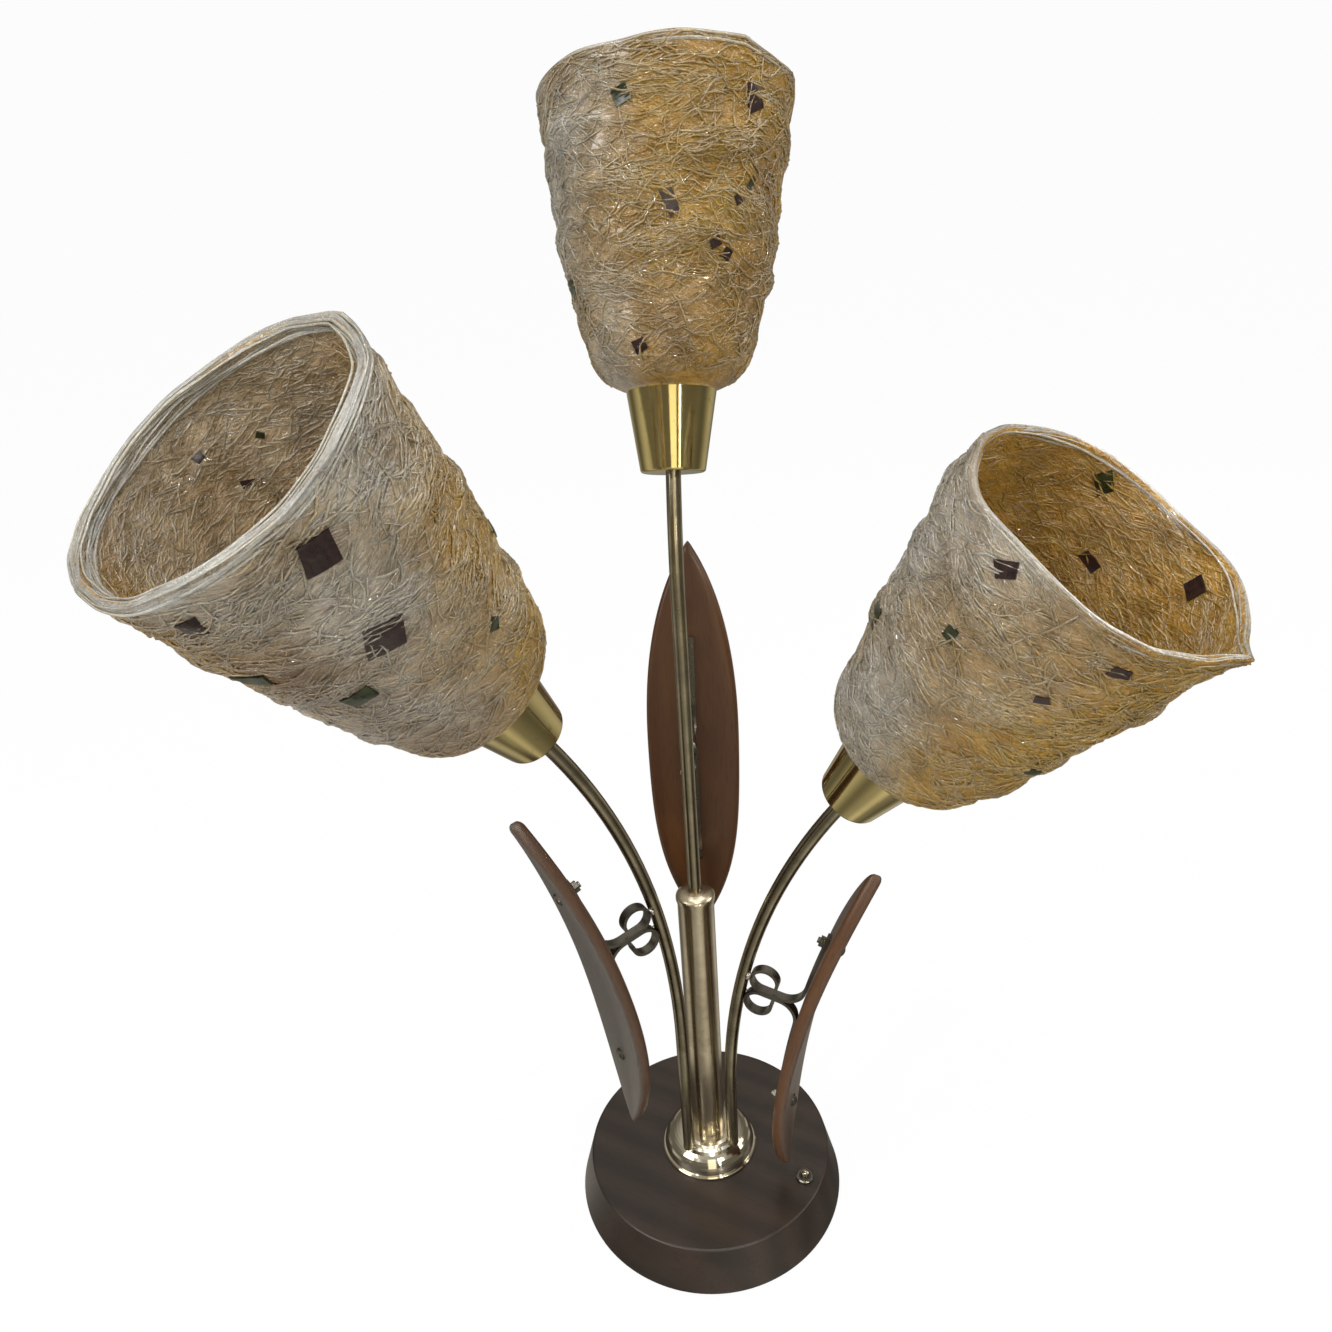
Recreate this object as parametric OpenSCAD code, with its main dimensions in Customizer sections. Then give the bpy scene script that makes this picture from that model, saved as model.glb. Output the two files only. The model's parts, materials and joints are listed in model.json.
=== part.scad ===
// Three-light table lamp: a turned wooden base, a brass column and three bent stems that
// carry cups, lamp sockets and spun acrylic tulip shades, with a wooden leaf on each stem.
// Millimetres, +Z up, +Y to the back. The origin is the centre of the base's underside.

/* [Base] */
// Radius of the wooden base where it meets the table
base_foot_r = 80; // [76:0.5:90]
// Radius of the base's flat top
base_top_r = 73; // [70:0.5:75]
// Height of the wooden base
base_h = 27.6; // [26:0.2:36]
// Rounding of the base's top edge
base_edge_r = 1.6; // [0.5:0.1:3]
// Chamfer of the base's lower edge
base_chamfer = 0.8; // [0.4:0.1:1.5]
// Thickness of the felt under the base
felt_t = 1; // [0.6:0.1:2]
// Distance of the felt's edge inside the base's edge
felt_inset = 1.2; // [0.5:0.1:3]
// Thickness of the cover plate above the felt
cover_t = 1.5; // [1:0.1:2]
// Radius of the cover plate
cover_r = 74; // [73:0.2:75]
// Radius of the hollow under the base
recess_r = 62; // [58:0.5:66]
// Depth of wood left above the hollow
ceiling_t = 13.6; // [10:0.2:16]
// Outer radius of the iron ballast ring
weight_r = 51; // [46:0.5:52]
// Inner radius of the iron ballast ring
weight_bore_r = 31; // [30:0.5:36]
// Thickness of the iron ballast ring
weight_t = 8.5; // [5:0.5:9]
// Circle of the three ballast screws
weight_screw_circle_r = 41; // [38:0.5:44]
// Radius of a ballast screw's shank
weight_screw_r = 2; // [1.5:0.1:2.5]
// Radius of a ballast screw's head
weight_head_r = 4; // [3.2:0.1:4.5]
// Height of a ballast screw's head
weight_head_h = 2.2; // [1.5:0.1:3]
// Depth a ballast screw goes into the wood
weight_screw_grip = 7; // [4:0.5:9]
// Radius of the terminal block under the stems
block_r = 26; // [25:0.5:28]
// Height of the terminal block
block_h = 4; // [3:0.2:5]

/* [Cord inlet] */
// Radius of the cord passage in the inlet bushing
inlet_bore_r = 3.2; // [2.5:0.1:4]
// Wall of the inlet bushing
inlet_wall = 1.8; // [1.2:0.1:2.5]
// Radius of the inlet bushing's flange
inlet_flange_r = 6.2; // [6:0.1:6.6]
// Thickness of the inlet bushing's flange
inlet_flange_t = 1.8; // [1:0.1:3]
// Height of the inlet's centre above the table
inlet_z = 9.4; // [9.2:0.1:9.7]
// Depth of the flat seat cut for the bushing's flange
inlet_seat = 0.8; // [0.5:0.1:1.2]
// Length of the bushing inside the base's hollow
inlet_inner = 2; // [1:0.5:4]

/* [Column] */
// Outer radius of the column tube
column_r = 10; // [9:0.1:11]
// Wall of the column tube
column_wall = 1; // [0.8:0.1:1.5]
// Height of the column's upper end above the table
column_top_z = 216; // [190:1:250]
// Radius of the mounting pipe inside the column
pipe_r = 4.9; // [4.6:0.1:5.2]
// Radius of the passage through the mounting pipe
pipe_bore_r = 3.3; // [3.2:0.1:3.6]
// Height of the mounting pipe's foot above the terminal block
pipe_lift = 1.5; // [1:0.1:2]
// Radius of the washer under the mounting pipe
pipe_washer_r = 10.5; // [9:0.1:10.8]
// Thickness of the washer under the mounting pipe
pipe_washer_t = 1.5; // [1:0.1:2]
// Corner radius of the mounting pipe's nut
pipe_nut_r = 8; // [7:0.1:9]
// Height of the mounting pipe's nut
pipe_nut_h = 4.2; // [3.5:0.1:4.5]
// Radius of the flange where it stands on the base
flange_r = 28.5; // [27:0.5:32]
// Height of the flange
flange_h = 15; // [13:0.5:18]
// Width and height of the bead around the flange's foot
flange_bead = 2.1; // [1.6:0.1:2.6]
// Width of the flange's rim around the column
flange_lip = 2.2; // [1.8:0.1:3]
// Sheet thickness of the flange
flange_wall = 1.2; // [1:0.1:1.6]
// Overhang of the column's cap
cap_overhang = 0.7; // [0.4:0.1:1.5]
// Height of the cap's straight lip
cap_lip = 2.2; // [1.5:0.1:4]
// Height of the cap's dome above its lip
cap_dome = 4.2; // [3:0.1:6]
// Depth of the cap's plug inside the column
cap_plug = 12; // [8:0.5:16]

/* [Stems] */
// Outer radius of a stem tube
stem_r = 3.5; // [3.2:0.1:4]
// Wall of a stem tube
stem_wall = 0.9; // [0.7:0.1:1.1]
// Radius of the wire pair inside a stem
wire_r = 1; // [0.8:0.05:1]
// Radius of the nipple that joins a stem to its cup and socket
nipple_r = 2.3; // [2.2:0.05:2.3]
// Wall of the nipple
nipple_wall = 0.8; // [0.6:0.1:0.8]
// Length of the nipple inside its stem
nipple_grip = 6; // [4:0.5:7]
// Length of the nipple inside its socket
nipple_reach = 5; // [3:0.5:7]
// Corner radius of the nuts under the side stems
stem_nut_r = 6; // [5.5:0.1:6.2]
// Height of the nuts under the side stems
stem_nut_h = 3.4; // [2.5:0.1:4]
// Distance of the side stems' feet from the column's axis
stem_root_r = 18; // [17:0.2:19]
// Direction of the left stem, counted from +X
left_dir = 227; // [215:1:240]
// Straight length of the left stem above the base
left_rise = 99; // [80:1:140]
// Bend radius of the left stem
left_bend_r = 399; // [340:1:420]
// Bend of the left stem
left_tilt = 36; // [32:0.5:40]
// Direction of the right stem
right_dir = -39; // [-50:1:-30]
// Straight length of the right stem above the base
right_rise = 50; // [40:1:90]
// Bend radius of the right stem
right_bend_r = 412; // [340:1:440]
// Bend of the right stem
right_tilt = 35; // [32:0.5:40]
// Direction the centre stem leans
centre_dir = 84; // [70:1:110]
// Straight length of the centre stem above the cap
centre_rise = 162; // [140:1:180]
// Bend radius of the centre stem
centre_bend_r = 187; // [160:1:220]
// Bend of the centre stem
centre_tilt = 20; // [10:0.5:22]

/* [Cups] */
// Outer radius of a cup's foot
cup_foot_r = 15; // [14.5:0.1:16]
// Outer radius of a cup's mouth
cup_mouth_r = 20.4; // [20:0.1:22]
// Height of a cup
cup_h = 36; // [35:0.5:40]
// Sheet thickness of a cup
cup_wall = 0.8; // [0.6:0.1:1]
// Rounding of a cup's foot
cup_edge_r = 1.5; // [0.8:0.1:2]
// Corner radius of the nut inside a cup
cup_nut_r = 7; // [6:0.1:8]
// Height of the nut inside a cup
cup_nut_h = 3; // [2:0.1:4]

/* [Sockets] */
// Radius of the socket's lamp thread, small screw size
lamp_thread_r = 7; // [5.9:0.1:7.1]
// Length of the socket's lamp thread
lamp_thread_l = 22; // [18:0.5:24]
// Thickness of the socket's foot below the lamp thread
socket_foot_t = 9; // [8:0.5:11]
// Outer radius of the socket
socket_r = 11.4; // [10.8:0.1:11.8]
// Thickness of the socket's collar under the shade
collar_t = 2.4; // [1.6:0.1:3]
// Height of the shade's seat above the cup's foot
seat_z = 21; // [19:0.5:23]
// Height of the ring that holds the shade down
shade_ring_h = 3.6; // [2.5:0.1:5]
// Radial thickness of the ring that holds the shade down
shade_ring_w = 2.2; // [1.6:0.1:2.4]

/* [Shades] */
// Outer radius of a shade's rim
rim_r = 55.5; // [50:0.5:58]
// Outer radius at the end of a shade's shoulder
shoulder_r = 38.2; // [35:0.2:40]
// Height of a shade's shoulder above its cup
shoulder_h = 21; // [18:0.5:24]
// Thickness of a shade's wall
shade_wall = 3.4; // [2.5:0.1:4]
// How far a shade's shoulder swells outwards
shoulder_swell = 4.6; // [3:0.2:5.5]
// How far a shade's side swells outwards between shoulder and rim
side_swell = 2.2; // [0.5:0.1:4]
// Thickness of a shade's floor and neck
neck_wall = 2.2; // [1.8:0.1:2.6]
// How far a wound bundle of strands stands out of a shade's wall
bundle_h = 1.7; // [1:0.1:2.2]
// Width of a bundle of strands
bundle_w = 13; // [9:0.5:16]
// Length of a bundle of strands
bundle_l = 62; // [45:1:66]
// Slant of the bundles of strands, to both sides in turn
bundle_slant = 10; // [0:1:14]
// Number of bundles wound on each shade
bundle_count = 18; // [6:1:20]
// Length of the left shade above its cup
left_shade_l = 141; // [120:1:150]
// Length of the right shade above its cup
right_shade_l = 133; // [120:1:150]
// Length of the centre shade above its cup
centre_shade_l = 127; // [115:1:150]

/* [Leaves] */
// Length of a leaf from tip to tip
leaf_l = 226; // [180:1:240]
// Greatest width of a leaf
leaf_w = 49; // [40:0.5:60]
// Thickness of a leaf
leaf_t = 7; // [5:0.1:8]
// How far a leaf's tips curl outwards from its middle
leaf_curl = 13; // [8:0.5:18]
// Fullness of a leaf's outline, 2 is a plain lens
leaf_full = 2.8; // [2:0.1:3.5]
// Direction the left leaf faces
left_leaf_dir = 211; // [205:1:220]
// Direction the right leaf faces
right_leaf_dir = -22; // [-32:1:-15]
// Direction the back leaf faces
back_leaf_dir = 84; // [75:1:105]
// Outward lean of the left leaf
left_lean = 12; // [10:0.5:14]
// Outward lean of the right leaf
right_lean = 12.5; // [10:0.5:14]
// Outward lean of the back leaf
back_lean = 7; // [0:0.5:8]

/* [Brackets] */
// Height of the left bracket above the table
left_bracket_z = 222; // [200:1:240]
// Height of the right bracket above the table
right_bracket_z = 172; // [150:1:190]
// Height of the back bracket above the table
back_bracket_z = 304; // [290:1:330]
// Space between a side leaf and its stem
side_reach = 31; // [29.5:0.5:36]
// Space between the back leaf and its stem
back_reach = 30; // [29.5:0.5:36]
// Width of the bracket straps
strap_w = 5; // [4:0.1:6]
// Thickness of the bracket straps
strap_t = 1.8; // [1.5:0.1:2.2]
// Length of a strap beyond its leaf screw
strap_end = 5; // [4:0.5:7]
// Bend radius where a strap leaves the leaf
foot_bend_r = 11; // [9:0.5:12]
// Radius of a strap's curled end
curl_r = 7.2; // [6:0.1:7.5]
// Turn of a strap's curled end
curl_turn = 285; // [240:5:290]
// Height of a bracket's middle above its leaf's middle
bracket_rise = 12; // [6:0.5:14]
// Distance of each leaf screw from the leaf's middle
leaf_screw_at = 60; // [55:1:70]
// Radius of a leaf screw's shank
leaf_screw_r = 1.6; // [1.5:0.1:2]
// Radius of a leaf screw's round head
leaf_head_r = 3.4; // [3:0.1:4]
// Height of a leaf screw's round head
leaf_head_h = 2.4; // [1.5:0.1:3]
// Length of a leaf screw beyond its nut
leaf_screw_end = 1.2; // [0.5:0.1:2]
// Radius of a leaf screw's nut
leaf_nut_r = 3.1; // [3:0.1:4]
// Height of a leaf screw's nut
leaf_nut_h = 2.4; // [1.8:0.1:3]

/* [Switch] */
// Distance of the switch from the base's centre
switch_at = 62.6; // [60:0.1:63]
// Direction of the switch
switch_dir = -28; // [-40:1:-15]
// Radius of the switch body under the wood
switch_body_r = 7.4; // [6.5:0.1:8]
// Height of the switch body
switch_body_h = 15; // [13:0.2:16]
// Radius of the switch's threaded neck
switch_neck_r = 3.6; // [3.4:0.1:4]
// Radius of the switch's nut
switch_nut_r = 5; // [4.6:0.1:6]
// Height of the switch's nut
switch_nut_h = 2.2; // [1.6:0.1:3]
// Radius of the push button
button_r = 2.4; // [2:0.1:2.4]
// Height of the button above its nut at rest
button_out = 4; // [3.2:0.1:5]
// Thickness of the wood above the switch body
switch_roof = 4.2; // [3.5:0.1:5]
// Wall of the switch body
switch_wall = 1.5; // [1:0.1:2]
// Travel of the push button
button_travel = 2.5; // [2:0.1:3]
// Radius of the button's inner collar
button_collar_r = 3.4; // [3.3:0.1:3.8]
// Height of the button's inner collar
button_collar_h = 3; // [2:0.1:4]
// Radius of the button's inner pin
button_pin_r = 1.8; // [1.4:0.1:2.2]
// Rise of the button's domed end
button_dome = 1; // [0.6:0.1:1.4]

/* [Fits] */
// Radial clearance of a screw, nipple or bushing in its hole
hole_gap = 0.15; // [0.1:0.05:0.3]
// Clearance between curved parts that nearly touch
soft_gap = 0.25; // [0.2:0.05:0.3]
// Radial clearance of a running fit
slide_gap = 0.1; // [0.05:0.01:0.15]
// Clearance between a loose inner part and its seat
seat_gap = 0.05; // [0.02:0.01:0.1]
// Small chamfer on turned metal edges
edge = 0.6; // [0.4:0.1:0.8]

/* [Hidden] */
$fn = 96;

wood_z = felt_t;
top_z = wood_z + base_h;
cover_z = wood_z + cover_t;
ceiling_z = top_z - ceiling_t;
block_top_z = cover_z + block_h;
pipe_foot_z = block_top_z + pipe_lift;
cap_top_z = column_top_z + cap_lip + cap_dome;
stem_bore_r = stem_r - stem_wall;
// How far a cutting shape reaches beyond its cut, and how far joined shapes overlap
over = 1;
join = 0.2;
// Heights above a cup's foot
nipple_top_z = cup_wall + cup_nut_h + nipple_reach;
socket_foot_z = cup_wall + cup_nut_h + seat_gap;
thread_foot_z = socket_foot_z + socket_foot_t;
socket_top_z = thread_foot_z + lamp_thread_l;
floor_top_z = seat_z + neck_wall;
leaf_face_r = (leaf_l * leaf_l / 4 + leaf_curl * leaf_curl) / (2 * leaf_curl);
leaf_back_r = leaf_face_r + leaf_t;
pocket_top_z = top_z - switch_roof;
golden_angle = 137.5;
// Turn by which a bundle's hidden ends run on below the wall's surface
sink_angle = 12;
side_angle = atan((base_foot_r - base_top_r) / base_h);
switch_top_z = top_z + switch_nut_h + join;
button_top_z = top_z + switch_nut_h + button_out;

// The three lights: direction, foot radius, foot height, straight part, bend radius, tilt,
// shade length. The stems stand in this order everywhere: left, right, centre.
LIGHTS = [
    [left_dir, stem_root_r, top_z, left_rise, left_bend_r, left_tilt, left_shade_l],
    [right_dir, stem_root_r, top_z, right_rise, right_bend_r, right_tilt, right_shade_l],
    [centre_dir, 0, cap_top_z, centre_rise, centre_bend_r, centre_tilt, centre_shade_l]
];
// The three leaves: direction, lean, bracket height, space to the stem
LEAVES = [
    [left_leaf_dir, left_lean, left_bracket_z, side_reach],
    [right_leaf_dir, right_lean, right_bracket_z, side_reach],
    [back_leaf_dir, back_lean, back_bracket_z, back_reach]
];

wood_dark = "#3b2a22";
walnut = "#7a4a2b";
brass = "#b59a62";
bronze = "#5d564b";
polished = "#cfc7b2";
acrylic = "#c9b98f";

// Points of an arc about c, from angle a to angle b
function arc(c, r, a, b, n = 8) =
    [for (i = [0:n]) c + r * [cos(a + (b - a) * i / n), sin(a + (b - a) * i / n)]];
// Points of a shallow bow from p to q that swells to its right by s
function bow(p, q, s, n = 10) =
    let (d = q - p, m = [d[1], -d[0]] / norm(d))
    [for (i = [0:n]) p + d * i / n + m * s * 4 * (i / n) * (1 - i / n)];
// Bend angle that a stem has reached at height z
function stem_turn(g, z) = asin(max(0, z - g[2] - g[3]) / g[4]);
// Distance of a stem's centre line from the column's axis at height z
function stem_out(g, z) = g[1] + g[4] * (1 - cos(stem_turn(g, z)));
function reversed(v) = [for (i = [len(v) - 1:-1:0]) v[i]];
// Depth of a leaf's back below its middle, at height z along the leaf
function leaf_drop(z) = leaf_back_r - sqrt(leaf_back_r * leaf_back_r - z * z);

// Moves to the foot of a stem's bend, the bend turning towards +X
module at_bend(g) {
    rotate([0, 0, g[0]]) translate([g[1], 0, g[2] + g[3]]) children();
}

// Moves to the centre of a cup's foot, +Z along the shade's axis
module at_cup(g) {
    at_bend(g) translate([g[4] * (1 - cos(g[5])), 0, g[4] * sin(g[5])])
        rotate([0, g[5], 0]) children();
}

// Moves to the middle of a leaf's back, X away from the stem, Z along the leaf
module at_leaf(g, f) {
    rotate([0, 0, g[0]]) translate([stem_out(g, f[2]), 0, f[2]])
        rotate([0, 0, f[0] - g[0]]) rotate([0, f[1], 0])
            translate([stem_r + f[3] - leaf_drop(bracket_rise), 0, -bracket_rise])
                children();
}

// Moves to a leaf screw's axis: X points from the leaf's centre of curvature to the stem
module at_leaf_screw(g, f, side) {
    at_leaf(g, f) translate([leaf_back_r, 0, 0]) mirror([1, 0, 0])
        rotate([0, -side * asin(leaf_screw_at / leaf_back_r), 0]) rotate([0, 90, 0])
            children();
}

// A stem: a straight tube from foot_z to its bend, and the bend up to the cup's foot
module stem(g, foot_z) {
    straight = g[2] + g[3] - foot_z;
    at_bend(g) union() {
        translate([0, 0, -straight]) difference() {
            cylinder(r = stem_r, h = straight);
            translate([0, 0, -over]) cylinder(r = stem_bore_r, h = straight + 2 * over);
        }
        translate([g[4], 0, 0]) mirror([1, 0, 0]) rotate([90, 0, 0])
            rotate_extrude(angle = g[5]) translate([g[4], 0]) difference() {
                circle(r = stem_r);
                circle(r = stem_bore_r);
            }
    }
}

module cup_nipple(g) {
    at_cup(g) translate([0, 0, -nipple_grip]) difference() {
        cylinder(r = nipple_r, h = nipple_grip + nipple_top_z);
        translate([0, 0, -over])
            cylinder(r = nipple_r - nipple_wall, h = nipple_grip + nipple_top_z + 2 * over);
    }
}

// A wire pair from the terminal block through a stem to the socket's contact. Above the
// cup's foot it keeps its bend, inside the nipple's bore.
module wire(g) {
    straight = g[2] + g[3] - block_top_z;
    beyond = (thread_foot_z - seat_gap) / g[4] * 180 / PI;
    at_bend(g) union() {
        translate([0, 0, -straight]) cylinder(r = wire_r, h = straight);
        translate([g[4], 0, 0]) mirror([1, 0, 0]) rotate([90, 0, 0])
            rotate_extrude(angle = g[5] + beyond) translate([g[4], 0]) circle(r = wire_r);
    }
}

module cup(g) {
    at_cup(g) difference() {
        rotate_extrude() polygon(concat(
            [[0, 0]],
            arc([cup_foot_r - cup_edge_r, cup_edge_r], cup_edge_r, -90, -8, 6),
            [[cup_mouth_r, cup_h], [cup_mouth_r - cup_wall, cup_h]],
            [[cup_foot_r - cup_wall, cup_edge_r + cup_wall]],
            [[cup_foot_r - cup_edge_r - cup_wall, cup_wall], [0, cup_wall]]
        ));
        translate([0, 0, -over]) cylinder(r = nipple_r + hole_gap, h = cup_wall + 2 * over);
    }
}

module cup_nut(g) {
    at_cup(g) translate([0, 0, cup_wall]) difference() {
        cylinder(r = cup_nut_r, h = cup_nut_h, $fn = 6);
        translate([0, 0, -over])
            cylinder(r = nipple_r + slide_gap, h = cup_nut_h + 2 * over);
    }
}

module socket(g) {
    collar_z = seat_z - collar_t;
    at_cup(g) difference() {
        union() {
            translate([0, 0, socket_foot_z])
                cylinder(r = socket_r, h = socket_top_z - socket_foot_z);
            translate([0, 0, collar_z])
                cylinder(r = socket_r + neck_wall, h = collar_t);
        }
        translate([0, 0, thread_foot_z]) cylinder(r = lamp_thread_r, h = lamp_thread_l + over);
        translate([0, 0, socket_foot_z - over])
            cylinder(r = nipple_r + slide_gap, h = socket_foot_t + 2 * over);
    }
}

// Outer radius of a shade's neck at height z, kept inside the cup's tapered wall
function neck_r(z) =
    cup_foot_r + (cup_mouth_r - cup_foot_r) * z / cup_h - cup_wall - 2 * soft_gap;

// Points along a shade's shoulder, and along its side up to the rim for a shade of length l
function shoulder_line() = bow(
    [neck_r(cup_h) + edge, cup_h + soft_gap], [shoulder_r, cup_h + shoulder_h],
    shoulder_swell, 8
);
function side_line(l) =
    bow([shoulder_r, cup_h + shoulder_h], [rim_r, cup_h + l], side_swell, 10);

// Outer radius of a shade of length l at height z
function side_r(l, z) = lookup(z, [for (p = side_line(l)) [p[1], p[0]]]);

// The bundles of strands wound on a shade of length l: each a piece of a torus that rises
// out of the wall in its middle and sinks into it at both ends. They follow each other up
// the side at the golden angle, so that they lie evenly apart.
module bundles(l) {
    section_r = (bundle_w * bundle_w / 4 + bundle_h * bundle_h) / (2 * bundle_h);
    low = cup_h + shoulder_h + bundle_w;
    high = cup_h + l - bundle_w;
    slope = (rim_r - shoulder_r) / (l - shoulder_h);
    for (k = [0:bundle_count - 1]) {
        z = low + (high - low) * (k + 0.5) / bundle_count;
        r = side_r(l, z);
        slant = bundle_slant * (k % 2 == 0 ? 1 : -1);
        half_turn = bundle_l / 2 / r * 180 / PI;
        crest = r + bundle_h;
        aside = (crest * crest - r * r) / (2 * (crest - r * cos(half_turn)));
        sweep = atan2(r * sin(half_turn), r * cos(half_turn) - aside) + sink_angle;
        rotate([0, 0, k * golden_angle]) translate([aside, slope * r * sin(slant), z])
            rotate([slant, 0, 0]) rotate([0, 0, -sweep]) rotate_extrude(angle = 2 * sweep)
                translate([crest - aside - section_r, 0]) circle(r = section_r);
    }
}

module shade(g) {
    rim_z = cup_h + g[6];
    outside = concat(
        [[neck_r(seat_z), seat_z], [neck_r(cup_h), cup_h]], shoulder_line(), side_line(g[6])
    );
    inside = concat(
        [[neck_r(seat_z) - neck_wall, floor_top_z], [neck_r(cup_h) - neck_wall, cup_h]],
        [for (p = shoulder_line()) if (p[1] > cup_h + shade_wall / 2)
            [p[0] - shade_wall * 0.85, p[1] + shade_wall * 0.35]],
        [for (p = side_line(g[6])) if (p[1] > cup_h + shoulder_h + shade_wall)
            [p[0] - shade_wall, min(p[1], rim_z)]]
    );
    at_cup(g) difference() {
        union() {
            rotate_extrude() polygon(concat(
                [[0, seat_z]], outside, [[rim_r, rim_z + over], [0, rim_z + over]]
            ));
            bundles(g[6]);
        }
        rotate_extrude() polygon(concat(
            [[0, floor_top_z]], inside,
            [[rim_r + bundle_w, rim_z], [rim_r + bundle_w, rim_z + 2 * bundle_w]],
            [[0, rim_z + 2 * bundle_w]]
        ));
        translate([0, 0, seat_z - over])
            cylinder(r = socket_r + hole_gap, h = neck_wall + 2 * over);
    }
}

module shade_ring(g) {
    at_cup(g) translate([0, 0, floor_top_z]) difference() {
        cylinder(r = socket_r + shade_ring_w, h = shade_ring_h);
        translate([0, 0, -over])
            cylinder(r = socket_r + slide_gap, h = shade_ring_h + 2 * over);
    }
}

// Half width of a leaf at u, from -1 at its lower tip to 1 at its upper tip
function leaf_half(u) = leaf_w / 2 * pow(1 - pow(abs(u), leaf_full), 0.9);

// A ring sector in the plane of p (towards the stem) and q (along the leaf), width w
module sector(r, t, w, a, b) {
    rotate([0, 0, a]) rotate_extrude(angle = b - a) translate([r - t / 2, -w / 2])
        square([t, w]);
}

// Turns the p-q plane into a leaf's frame, p towards the stem
module pq_plane() {
    mirror([1, 0, 0]) rotate([90, 0, 0]) children();
}

module leaf_screw_hole(side) {
    translate([leaf_back_r, 0, 0]) mirror([1, 0, 0])
        rotate([0, -side * asin(leaf_screw_at / leaf_back_r), 0]) rotate([0, 90, 0])
            translate([0, 0, leaf_face_r - 2 * over])
                cylinder(r = leaf_screw_r + hole_gap, h = leaf_t + strap_t + 4 * over);
}

module leaf(g, f) {
    half_turn = asin(leaf_l / 2 / leaf_face_r);
    us = [for (i = [0:24]) -1 + i / 12];
    outline = [for (u = us) [leaf_half(u), u * leaf_l / 2]];
    at_leaf(g, f) difference() {
        intersection() {
            pq_plane() translate([-leaf_back_r, 0, 0])
                sector(leaf_face_r + leaf_t / 2, leaf_t, leaf_w + 2 * over,
                       -half_turn, half_turn);
            rotate([90, 0, 90]) translate([0, 0, -over])
                linear_extrude(leaf_curl + leaf_t + 4 * over)
                    polygon(concat(outline, [for (p = reversed(outline)) [-p[0], p[1]]]));
        }
        leaf_screw_hole(1);
        leaf_screw_hole(-1);
    }
}

// Points of an arc with their normals, [point, normal], for a strap's centre line
function arc_line(c, r, a, b, n, way) =
    [for (i = [0:n]) let (t = a + (b - a) * i / n, d = [cos(t), sin(t)]) [c + r * d, way * d]];

// One strap of a bracket: down the leaf from its screw, round the foot bend towards the
// stem, and into a curl that rests against it. side is 1 for the upper strap and -1 for the
// lower one, which is the same shape turned over.
module strap(g, f, side) {
    lean = f[1] - stem_turn(g, f[2]);
    leg_r = leaf_back_r + seat_gap + strap_t / 2;
    bend_q = side * bracket_rise + strap_t / 2 + foot_bend_r;
    leg_foot = asin(bend_q / (leg_r + foot_bend_r));
    leg_top = asin((leaf_screw_at + strap_end) / leg_r);
    bend_p = (leg_r + foot_bend_r) * cos(leg_foot) - leaf_back_r;
    face_p = f[3] - leaf_drop(bracket_rise);
    contact_p = face_p + side * (strap_t / 2 + curl_r) * tan(lean);
    curl_p = contact_p - soft_gap - strap_t / 2 - curl_r;
    line = concat(
        arc_line([-leaf_back_r, 0], leg_r, leg_top, leg_foot, 8, 1),
        arc_line([bend_p, bend_q], foot_bend_r, 180 + leg_foot, 270, 12, -1),
        arc_line([curl_p, bend_q - foot_bend_r + curl_r], curl_r, -90, curl_turn - 90, 36, -1)
    );
    at_leaf(g, f) difference() {
        pq_plane() mirror([0, side < 0 ? 1 : 0, 0])
            linear_extrude(strap_w, center = true) polygon(concat(
                [for (k = line) k[0] + k[1] * strap_t / 2],
                [for (k = reversed(line)) k[0] - k[1] * strap_t / 2]
            ));
        leaf_screw_hole(side);
    }
}

module leaf_screw(g, f, side) {
    ball_r = leaf_head_r * 1.3;
    at_leaf_screw(g, f, side) {
        translate([0, 0, leaf_face_r - seat_gap]) mirror([0, 0, 1]) intersection() {
            cylinder(r = leaf_head_r, h = leaf_head_h);
            translate([0, 0, leaf_head_h - ball_r]) sphere(r = ball_r);
        }
        translate([0, 0, leaf_face_r - seat_gap - join])
            cylinder(r = leaf_screw_r,
                     h = leaf_t + strap_t + leaf_nut_h + leaf_screw_end + 2 * join);
    }
}

module leaf_nut(g, f, side) {
    at_leaf_screw(g, f, side) translate([0, 0, leaf_back_r + strap_t + 2 * seat_gap])
        difference() {
            cylinder(r = leaf_nut_r, h = leaf_nut_h, $fn = 6);
            translate([0, 0, -over])
                cylinder(r = leaf_screw_r + seat_gap, h = leaf_nut_h + 2 * over);
        }
}

// Radius of the base's tapered side at height z above the table
function base_side_r(z) = base_foot_r + (base_top_r - base_foot_r) * (z - wood_z) / base_h;
// Distance of the inlet's flat seat from the base's centre
inlet_seat_y = base_side_r(inlet_z) - inlet_seat;

module at_switch() {
    rotate([0, 0, switch_dir]) translate([switch_at, 0, 0]) children();
}

module at_weight_screws() {
    for (a = [90:120:330]) rotate([0, 0, a]) translate([weight_screw_circle_r, 0, 0])
        children();
}

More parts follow.
